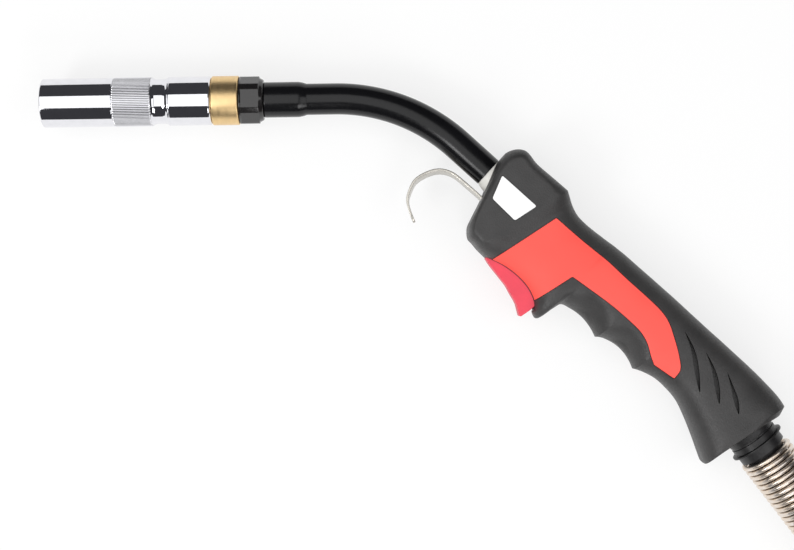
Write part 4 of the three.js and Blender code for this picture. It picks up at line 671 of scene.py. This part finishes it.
insulator = turned("insulator", [
    (SOCKET + 6, 6.7), (SOCKET + 6, 9), (FLANGE_START, 9), (FLANGE_START, 12.5), (FLANGE_START + 0.3, 12.7),
    (FLANGE_START + 1.2, 12.7), (FLANGE_START + 1.3, 12.7), (FLANGE_END - 2.3, 12.7), (FLANGE_END - 2.2, 11.9),
    (FLANGE_END - 0.3, 10.9), (FLANGE_END, 10.5), (FLANGE_END, 6.7)], FRONT, 144, 0.25, spanner_flats)
stands_for(insulator, "insulator_black", "hex_insulator")
sleeve = turned("end_sleeve", [
    (FLANGE_END, 6.7), (FLANGE_END, 9.5), (SLEEVE_START + 18.6, 9.5), (SLEEVE_START + 20.6, 9.1),
    (SLEEVE_END, NECK_COVER), (SLEEVE_END + GAP, NECK_COVER), (SLEEVE_END + GAP, 6.7)], FRONT, 96, 1.0)
stands_for(sleeve, "neck_black", "neck_end_sleeve")

# %% Inside the mouth
SHOULDER = SOCKET - 32
tip = turned("tip", [
    (3, 0.8), (3, 1.9), (4.2, 3.2), (8, 4), (SHOULDER - GAP, 4), (SHOULDER - GAP, 3), (SHOULDER + 9, 3),
    (SHOULDER + 9, 0.8)], FRONT, 48, 0.5)
stands_for(tip, "copper", "contact_tip")
holder = turned("holder", [
    (SHOULDER, 3.3), (SHOULDER, 5.4), (SHOULDER + 1, 6.4), (SOCKET, 6.4), (SOCKET, 3.3), (SOCKET + 8, 3.3),
    (SOCKET + 8, 1.9), (SHOULDER + 9.3, 1.9), (SHOULDER + 9.3, 3.3)], FRONT, 48, 0.4)
stands_for(holder, "brass", "tip_holder")

# %% [markdown]
# ## Neck
# A copper tube under a smooth black cover, bent once. A round bar swept along the bent line gives the long
# unbroken highlight that the picture shows. Where it enters the handle it sits in a pale plastic bush.

# %% Neck cover and bush
NECK_STEPS = 120
neck_end = MOUTH - SLEEVE_END - GAP
neck_line = [neck_point(neck_end - neck_end * k / NECK_STEPS) for k in range(NECK_STEPS + 1)]
neck = swept("neck_cover", neck_line, NECK_COVER, NECK, 64)
stands_for(neck, "neck_black", "neck_insulation")
bush = turned("bush", [(0, 6.7), (0, 8), (1.2, 8.5), (4, 9.15), (17, 9.15), (17, 6.7)], NECK, 64, 0.5)
stands_for(bush, "white_nylon", "neck_entry_bush")

# %% [markdown]
# ## Hook
# A flat steel strip bent into a hook, to hang the torch on a rail. Its line is drawn from the side, a thin
# rounded section is carried along it, and the strip leans a little about its shank, as in the picture, so
# that its broad face shows.

# %% Hook
HOOK_LINE = [(-8.6, -16.4), (-8.6, -13.4), (-9.8, -12.1), (-17.3, -12.4), (-28.9, -13.0), (-36.7, -13.8),
             (-41.3, -15.7), (-44.8, -18.7), (-47.7, -24.1), (-49.1, -30.9), (-47.1, -37.2), (-44.5, -41.3),
             (-39.7, -44.4), (-33.6, -47.0)]
HOOK_THICKNESS, HOOK_WIDTH, HOOK_TAPER = 1.3, 11.0, 26.0
HOOK_PITCH, HOOK_ROLL = math.radians(-7.5), math.radians(-3.4)
hook_line = smooth_line(HOOK_LINE)
t, w = HOOK_THICKNESS / 2, HOOK_WIDTH / 2
hook_section = eased([(-t, -w), (t, -w), (t, w), (-t, w)], 0.25, 3)
lengths = np.concatenate([[0], np.cumsum(np.hypot(*np.diff(hook_line, axis=0).T))])
points = []
for at, way, travelled in zip(hook_line, directions(hook_line), lengths):
    to_tip = min((lengths[-1] - travelled) / HOOK_TAPER, 1.0)
    narrow = 0.12 + 0.88 * math.sqrt(1 - (1 - to_tip) ** 2)
    points.extend((at[0] - way[1] * x, at[1] + way[0] * x, z * narrow) for x, z in hook_section)
shank = Vector((*HOOK_LINE[2], 0))
lean = HANDLE @ Matrix.Translation(shank) @ Matrix.Rotation(HOOK_PITCH, 4, "Y")
lean = lean @ Matrix.Rotation(HOOK_ROLL, 4, "X") @ Matrix.Translation(-shank)
hook = tidy(add_mesh("hook", points, capped_faces(len(hook_line), len(hook_section)), lean), 50)
stands_for(hook, "steel", "hanging_hook")

# %% [markdown]
# ## Trigger
# A moulded lever, hollow of curve in front where the finger pulls. Its outline is drawn smooth between its
# real corners and drawn out across the handle, with each side rounded over. It turns on a pin in an eye.

# %% Trigger
PIVOT, PIN_HOLE = (11.5, -25.0), 3.6
SPRING_ROOM = (9.0, -2.38, 2.38)


def disc(centre, diameter, low, high, place=HANDLE, sides=48):
    ring = [(centre[0] + diameter / 2 * math.cos(a), centre[1] + diameter / 2 * math.sin(a))
            for a in np.arange(sides) * 2 * math.pi / sides]
    return drawn_out("disc", ring, [(low, 0), (high, 0)], place)


front_edge = smooth_line([(7.2, -33.9), (11.1, -34.7), (21, -35.9), (25.4, -36.5), (29.9, -37.8),
                          (35.7, -39.4), (38.6, -41.0)], 6)
rear_edge = smooth_line([(43.0, -39.4), (43.5, -36.4), (43.6, -33.4), (43.2, -28.4)], 6)
lever = eased([*front_edge, (42.3, -43.2), *rear_edge, (40, -26.5), (13.5, -26.5), (8.5, -26.5), (6.9, -29.5),
               (6.7, -32.8)], 1.3)
TRIGGER_HALF, ROLL = 7.7, 0.6
quarter = np.linspace(0, math.pi / 2, 6)
roll = [(TRIGGER_HALF - ROLL * (1 - math.cos(a)), ROLL * (1 - math.sin(a))) for a in quarter]
layers = [(-h, i) for h, i in roll] + [(h, i) for h, i in reversed(roll)]
trigger = drawn_out("trigger_lever", lever, layers)
carve(trigger, disc(PIVOT, 7.2, -7.5, 7.5), "UNION")
carve(trigger, disc(PIVOT, PIN_HOLE, -20, 20))
carve(trigger, disc(PIVOT, *SPRING_ROOM))
tidy(trigger, 8)
stands_for(trigger, "red_trigger", "trigger", body="trigger_lever")

# %% [markdown]
# ## Handle
# The handle is a lofted form. A row of sections runs from the front face to the cable, each between a point
# on the belly and a point on the back, with its width and squareness. Between them every value follows a
# smooth curve, except round the head, at the two ridges between the fingers and at the rear edge, where it
# breaks. The head is held down to a flat on each side, and hollows for the fingers run up the sides.

# %% Sections of the handle
# belly x and y, back x and y, width, squareness
SECTIONS = np.array([
    (-12.4, -24, -25.2, 7, 28, 3.4), (-11.6, -28.6, -25.3, 13.5, 40.6, 5), (-7.2, -32.6, -19, 21.5, 48.6, 5),
    (-4, -33, -9, 21, 49, 5), (-1.5, -33.2, 2, 21.8, 49, 5), (0.6, -33.4, 12.3, 22.5, 44.4, 6),
    (6.5, -33.6, 18.5, 19.8, 39, 4), (12.5, -31.8, 25, 17.8, 36.5, 3), (20, -30.2, 31, 17.5, 35, 2.8),
    (28, -29.6, 37.5, 18, 35, 2.8), (35, -30.4, 42, 18.6, 35, 2.8), (41.5, -33, 45, 19, 35, 2.8),
    (46.2, -36.8, 47, 19.3, 35, 2.8), (49.4, -37.2, 48.8, 19.6, 35, 2.8), (51.4, -28.4, 50.8, 19.9, 35, 2.8),
    (53, -22.8, 53.4, 20.2, 35, 2.7), (58.5, -20.4, 59, 20.8, 35, 2.6), (67.5, -19.2, 68, 21.4, 35, 2.5),
    (79, -21.6, 79.5, 22.2, 35, 2.5), (83, -18.9, 83.5, 22.4, 35, 2.5), (93, -16.6, 93.5, 23, 35, 2.5),
    (105.5, -19.4, 106, 23.5, 35.5, 2.5), (109.5, -17.3, 110, 23.7, 35.8, 2.5),
    (117.5, -14.7, 118, 24, 36.4, 2.5), (126, -14.2, 127, 24.5, 37.4, 2.5),
    (134.5, -15, 137, 24.9, 38.8, 2.6), (144, -18.2, 148, 25.3, 40.8, 2.7),
    (154, -22.5, 158, 25.4, 42.8, 2.7), (162.5, -26.3, 170, 24.8, 44.6, 3),
    (167.5, -28.5, 176.4, 23.6, 44.6, 3), (168.7, -28.5, 178.1, 18.6, 43.6, 3)])
HEAD_EDGES, RIDGES, REAR_EDGE = (1, 5, 6), (18, 21), (29,)
BREAKS = HEAD_EDGES + RIDGES + REAR_EDGE
LAST, END_DETAIL = len(SECTIONS) - 1, 3

# %% Smooth values between the sections
spans = np.sqrt(np.hypot(*np.diff(SECTIONS[:, :2], axis=0).T) + np.hypot(*np.diff(SECTIONS[:, 2:4], axis=0).T))
slopes = np.diff(SECTIONS, axis=0) / spans[:, None]


def slope_at(k, span):
    """The slope of the curve at section k, seen from the span that it begins or ends."""
    if 0 < k < LAST and k not in BREAKS:
        a, b = spans[k - 1], spans[k]
        return (slopes[k - 1] * b + slopes[k] * a) / (a + b)
    other = span + 1 if k == span else span
    if other in (0, LAST) or other in BREAKS:
        return slopes[span]
    return 2 * slopes[span] - slope_at(other, span)


def sections_between(first, last, per):
    """Smooth sections from one numbered section to another."""
    rows = []
    for span in range(first, last):
        steps = per * (END_DETAIL if span in (0, LAST - 1) else 1)
        t = np.linspace(0, 1, steps, endpoint=False)[:, None]
        width = spans[span]
        rows.append((2 * t**3 - 3 * t**2 + 1) * SECTIONS[span] + (t**3 - 2 * t**2 + t) * width * slope_at(span, span)
                    + (3 * t**2 - 2 * t**3) * SECTIONS[span + 1] + (t**3 - t**2) * width * slope_at(span + 1, span))
    rows.append(SECTIONS[last][None, :])
    return np.vstack(rows)


print("sections:", len(SECTIONS), "smooth sections:", len(sections_between(0, LAST, 8)))


# %% The handle's form
FLAT, FLAT_BLEND = 22.0, 0.04
FRONT_ROUND, REAR_ROUND = 1.8, 0.5
REAR_DOME, REAR_DEPTH = 3.6, 16.0


# each finger's start and length; the hollows' depth, its limit as a share of the half width, and their fade
FINGERS = ((54, 25), (79, 26.5))
HOLLOW, HOLLOW_SHARE, HOLLOW_TOP, HOLLOW_FADE = 3.6, 0.3, -5.0, 10.0


def finger_hollows(u, v):
    """Depth of the hollows for the fingers at a place on the side."""
    first, second = (np.sin(np.clip((u - start) / length, 0, 1) * np.pi) ** 1.3 for start, length in FINGERS)
    fade = np.clip((HOLLOW_TOP - v) / HOLLOW_FADE, 0, 1)
    return HOLLOW * np.maximum(first, second) * fade * fade * (3 - 2 * fade)


def handle_form(name, inset=0.0, first=0, last=LAST, per=8, around=144):
    """The closed skin of the handle, drawn in by an inset on every side."""
    rows = sections_between(first, last, per)
    low, high = rows[:, :2], rows[:, 2:4]
    centre = (low + high) / 2
    reach = np.hypot(*(high - low).T) / 2
    along = np.concatenate([[0], np.cumsum(np.hypot(*np.diff(centre, axis=0).T))])
    drawn_in = np.full(len(rows), float(inset))
    ends = (FRONT_ROUND, along, first == 0), (REAR_ROUND, along[-1] - along, last == LAST)
    for rounding, distance, there in ends:
        if there:
            part = np.clip(1 - distance / rounding, 0, 1)
            drawn_in += rounding * (1 - np.sqrt(1 - part**2))
    way = (high - low) / (2 * reach[:, None])
    a, b, square = reach - drawn_in, rows[:, 4] / 2 - drawn_in, rows[:, 5]
    angle = 2 * np.pi * np.arange(around) / around
    c, s = np.cos(angle)[None, :], np.sin(angle)[None, :]
    swell = (np.abs(c) ** square[:, None] + np.abs(s) ** square[:, None]) ** (-1 / square[:, None])
    flat = centre[:, None, :] + way[:, None, :] * (a[:, None] * c * swell)[:, :, None]
    height = b[:, None] * s * swell
    size, side = np.abs(height), np.sign(height)
    size = size - np.minimum(finger_hollows(flat[..., 0], flat[..., 1]), HOLLOW_SHARE * size)
    limit = FLAT - inset
    size = (size + limit - np.sqrt((size - limit) ** 2 + FLAT_BLEND)) / 2
    to_rear = np.clip(1 - (SECTIONS[LAST, 2] - rows[:, 2]) / REAR_DEPTH, 0, 1)[:, None]
    flat[..., 0] -= REAR_DOME * to_rear**2 * (size / FLAT) ** 2
    points = np.dstack([flat, side * size]).reshape(-1, 3)
    return tidy(add_mesh(name, points, capped_faces(len(rows), around), HANDLE))


# %% [markdown]
# ## Halves, inlays and slits
# The grip is two moulded half shells, with a red panel let into each side and three slits near the rear. Both
# halves are cut from one skin, with hollows for what lies inside. Each panel is cut from the same skin, a
# little further in, so it follows the handle's curve.

# %% Outlines on the side of the handle
def leaf(line, width):
    """A pointed leaf along a line of points, widest a little past its middle."""
    middle = smooth_line(line, 6)
    ways = directions(middle)
    half = width / 2 * np.sin(np.pi * np.linspace(0.03, 0.98, len(middle)) ** 1.4) ** 0.8
    out = np.column_stack([ways[:, 1], -ways[:, 0]]) * half[:, None]
    return [tuple(p) for p in middle + out] + [tuple(p) for p in (middle - out)[::-1]]


inlay_low = smooth_line([(46, -8.6), (58, -6.6), (71.4, -4.6), (84, -3.7), (92.7, -3.7), (99.5, -5.6),
                         (105.7, -9), (110.1, -10.8)], 5)
inlay_high = smooth_line([(122.6, -8.5), (121.2, -3.2), (115.9, 1.2), (106.2, 6.9), (99, 10.4), (92.7, 11.7),
                          (82.1, 11.7), (67.6, 10.9), (52.6, 10.4), (38.7, 8.9), (26.1, 7.9), (18.1, 7.2)], 5)
inlay_outline = eased([(8.3, -40), (39.3, -40), *inlay_low, *inlay_high], 1.3)
LABEL = eased([(-18.1, 2.6), (-13.2, -9.7), (3.4, -9.5), (6.2, 3.9)], 1.1, 5)
SLITS = [leaf(line, 2.6) for line in (
    [(108.9, 13), (118, 9.1), (125.6, 4), (136.6, -4.3)],
    [(124.4, 13), (133.4, 9.1), (141, 4), (147.9, -1.5)],
    [(139.5, 13.4), (148.3, 8.6), (153.1, 5.7), (158.8, 1.8)])]
SCREWS, SCREW_HOLE = [(-6, -24), (4, 15.6), (72, -12), (146, 18.8)], 6.2
INLAY_EDGE, INLAY_THICKNESS, SLIT_DEPTH, LABEL_FLOOR, WALL = 8.9, 1.6, 3.0, 21.2, 3.2
print("inlay outline:", len(inlay_outline), "points")


# %% Tools for one half; the side is 1 for the left half, above, and -1 for the right
FAR = 60


def prism(outline, side, low, grow=0.0):
    return drawn_out("prism", outline, [(side * low, -grow), (side * FAR, -grow)])


def half_space(side, low=(-300, -300), high=(400, 300), place=HANDLE):
    """One side of the plane between two halves, less half their gap."""
    bottom, top = sorted((side * GAP / 2, side * FAR))
    return box((*low, bottom), (*high, top), place)


def rod(start, end, radius, place, sides=64):
    return turned("rod", [(start, 0), (start, radius), (end, radius), (end, 0)], place, sides, 0)


def shared_hollows():
    """What both halves leave free: cavity, neck, clamp, collar, cable, trigger, switch, pin and hook."""
    yield handle_form("cavity", WALL, 2, LAST - 2, 3, 48)
    yield rod(-10, 21, 9.45, NECK)
    yield box((32.7, -10.3, -8.3), (58.3, 10.3, 8.3), NECK)
    yield rod(-18.5, 10, 13.65, REAR)
    yield rod(-60, 0, 9.8, REAR)
    yield box((6.4, -60, -8), (45.3, -20.7, 8))
    yield box((14.7, -21, -3.5), (35.3, -10.4, 3.5))
    yield disc(PIVOT, PIN_HOLE, -11.1, 11.1)
    yield drawn_out("slot", [(-32, -14.1), (-6, -12.9), (-6, -11), (-32, -12.2)], [(-5.8, 0), (5.8, 0)], lean)


# %% The two halves with their inlays
for side, title in ((1, "left"), (-1, "right")):
    shell = handle_form(f"handle_{title}")
    carve(shell, half_space(side), "INTERSECT")
    for tool in shared_hollows():
        carve(shell, tool)
    recess = prism(inlay_outline, side, INLAY_EDGE - GAP, GAP)
    carve(recess, handle_form("inner", INLAY_THICKNESS + GAP, per=5, around=96))
    carve(shell, recess)
    for outline in SLITS:
        slit = prism(outline, side, 1)
        carve(slit, handle_form("floor", SLIT_DEPTH, 21, LAST, 5, 96))
        carve(shell, slit)
    if side == 1:
        carve(shell, prism(LABEL, side, LABEL_FLOOR, GAP))
    else:
        for place in SCREWS:
            carve(shell, disc(place, SCREW_HOLE, -FAR, -12))
    tidy(shell, 32)
    stands_for(shell, "handle_black", f"handle_shell_{title}")
    inlay = prism(inlay_outline, side, INLAY_EDGE)
    carve(inlay, handle_form("edge", 0.05), "INTERSECT")
    carve(inlay, handle_form("inner", INLAY_THICKNESS, per=5, around=96))
    tidy(inlay, 32)
    inlay.name = f"inlay_{title}"
    stands_for(inlay, "red_inlay", f"grip_inlay_{title}")

# %% [markdown]
# ## Plate
# A thin white plate lies in a recess on the head. It is left bare.

# %% Plate
plate = drawn_out("plate", LABEL, [(21.5, 0), (21.88, 0), (22.0, 0.14)])
stands_for(plate, "white_plate", "label_plate")

# %% [markdown]
# ## Collar and spring guard
# The cable leaves through a turned collar with a thin flange, inside a close-wound wire that keeps it from
# kinking. A wound wire follows one rule all along, so Geometry Nodes draw its spiral and sweep the wire.

# %% Collar
collar = turned("collar", [
    (-17, 9.8), (-17, 15.1), (-14.5, 15.1), (-14.5, 13.35), (-4.6, 13.35), (-4.3, 12.9), (-3.4, 12.9),
    (-3.1, 13.35), (0.1, 13.35), (0.3, 15.3), (1.2, 15.3), (1.4, 13.2), (6.1, 13.2), (6.1, 10.8), (14.1, 10.8),
    (14.1, 9.8)], REAR, 96, 0.15)
carve(collar, disc((176.2, 1.0), 2.2, 12, 30))
tidy(collar)
stands_for(collar, "collar_black", "cable_collar")


# %% A tree that winds a wire
def wound_wire_tree():
    tree, given = new_tree("wound_wire", Seed="Geometry", Turns="Float", Radius="Float", Pitch="Float",
                           Wire="Float", Steps="Int", Finish="Material")
    nodes, links = tree.nodes, tree.links
    rise, spiral = new_node(nodes, "ShaderNodeMath", "MULTIPLY"), nodes.new("GeometryNodeCurveSpiral")
    section = new_node(nodes, "GeometryNodeCurvePrimitiveCircle", Resolution=14)
    half = new_node(nodes, "ShaderNodeMath", "MULTIPLY")
    half.inputs[1].default_value = 0.5
    for title, target in (("Turns", rise.inputs[0]), ("Pitch", rise.inputs[1]), ("Wire", half.inputs[0]),
                          ("Steps", spiral.inputs["Resolution"]), ("Turns", spiral.inputs["Rotations"]),
                          ("Radius", spiral.inputs["Start Radius"]), ("Radius", spiral.inputs["End Radius"])):
        links.new(given.outputs[title], target)
    links.new(rise.outputs[0], spiral.inputs["Height"])
    links.new(half.outputs[0], section.inputs["Radius"])
    sweep = new_node(nodes, "GeometryNodeCurveToMesh", Fill_Caps=True)
    links.new(spiral.outputs["Curve"], sweep.inputs["Curve"])
    links.new(section.outputs["Curve"], sweep.inputs["Profile Curve"])
    return give_back(tree, given, sweep.outputs["Mesh"])


# %% Spring guard
guard = put_in_scene("guard", bpy.data.meshes.new("guard"))
on_axis = REAR @ Matrix.Translation((GUARD_START, 0, 0)) @ Matrix.Rotation(math.pi / 2, 4, "Y")
grown_by_nodes(guard, wound_wire_tree(), on_axis, Turns=float(GUARD_TURNS), Radius=13.45, Pitch=GUARD_PITCH,
               Wire=WIRE, Steps=40, Finish=finishes["nickel"])
tidy(guard, 60)
stands_for(guard, "nickel", "spring_guard")

# %% [markdown]
# ## Connector
# The far end plugs into the wire feeder. The picture doesn't show it, so it follows the usual kind: a rubber
# boot, a two-part grip, a union nut with a ribbed rim, and inside it the brass body with its gas tube and
# two spring pins. What is built here is turned about one axis; the brass body and the pins stay as solids.

# %% Boot and grip
boot = turned("boot", [
    (0, 9.8), (0, 11), (3.6, 11.4), (3.8, 10.6), (5.2, 10.7), (5.4, 11.7), (8.6, 12), (8.8, 11.2), (10.2, 11.3),
    (10.4, 12.2), (13.6, 12.4), (13.8, 11.5), (15.2, 11.5), (15.4, 12.5), (27, 12.5), (27, 15), (34, 15), (34, 9.8)],
    PLUG, 72, 0.3)
stands_for(boot, "boot_rubber", "plug_cable_boot")
grooves = [(at + x, radius) for at in (56, 62, 68) for x, radius in ((0, 23), (0.6, 22.2), (2.2, 22.2), (2.8, 23))]
GRIP = [(22, 12.8), (22, 16.4), (22.8, 17), (31, 22), (36, 23), *grooves, (84, 23), (84, 15.5), (75.4, 15.5),
        (75.4, 18.3), (69.8, 18.3), (69.8, 20), (34.3, 20), (34.3, 15.3), (26.7, 15.3), (26.7, 12.8)]
PLUG_SCREWS = [(46, 19.6), (62, -19.6)]
grips = []
for side, title in ((1, "upper"), (-1, "lower")):
    grip = turned(f"grip_{title}", GRIP, PLUG, 96, 0.4)
    carve(grip, half_space(side, (-50, -60), (150, 60), PLUG), "INTERSECT")
    if side == 1:
        for place in PLUG_SCREWS:
            carve(grip, disc(place, SCREW_HOLE, 6, FAR, PLUG))
    tidy(grip)
    grips.append(stands_for(grip, "plug_grey", f"plug_housing_{title}"))

# %% Union nut with its ribs
nut = turned("union_nut", [
    (84.3, 15.5), (84.3, 20.2), (85.3, 21), (109.3, 21), (110.3, 20.2), (110.3, 18.9), (87.3, 18.9),
    (87.3, 15.5)], PLUG, 96, 0.4)
stands_for(nut, "nickel", "plug_nut", body="union_nut")
nut_ribs = rib("nut_ribs", 86.5, 108.1, 2.2, 0.58, 1.2)
grown_by_nodes(nut_ribs, rib_ring, PLUG, Count=36, Radius=21.0, Finish=finishes["nickel"])
stands_for(nut_ribs, "nickel", body="union_nut")

# %% Insulator, gas tube and seal
PIN_CIRCLE = 12.6
plug_insulator = turned("spool", [
    (75.7, 10.3), (75.7, 15.2), (87.6, 15.2), (87.6, 17.5), (91, 17.5), (91, 10.3)], PLUG, 72, 0.3)
for angle in (math.radians(60), math.radians(120)):
    place = PLUG @ Matrix.Translation((0, PIN_CIRCLE * math.cos(angle), PIN_CIRCLE * math.sin(angle)))
    carve(plug_insulator, rod(80, 100, 1.8, place, 24))
tidy(plug_insulator)
stands_for(plug_insulator, "black_plastic", "plug_insulator")
gas_tube = turned("gas_inlet", [
    (88.3, 2), (88.3, 5), (110, 5), (110, 4), (112.2, 4), (112.2, 5), (117, 5), (118, 4.2), (118, 2)],
    PLUG, 48, 0.25)
stands_for(gas_tube, "brass", "gas_tube")
ring_profile = [(111.1 + 0.8 * math.cos(a), 5.1 + 0.8 * math.sin(a)) for a in np.arange(12) * math.pi / 6]
seal = turned("seal", ring_profile, PLUG, 48, 0)
stands_for(seal, "seal_rubber", "gas_tube_o_ring")

# %% [markdown]
# ## The cable's facts
# The pieces on the far end, which lie with it, are gathered in one list, and its path is given in metres.

unchanged = ("plug_body", "plug_screw_1", "plug_screw_2", "contact_pin_1", "contact_pin_2")
carried = ties + grips + [boot, nut, nut_ribs, plug_insulator, gas_tube, seal]
carried += [frame["nodes"][name] for name in unchanged]
print(len(carried), "pieces lie with the cable")
[tuple(Vector(p) * MM) for p in cable_path]
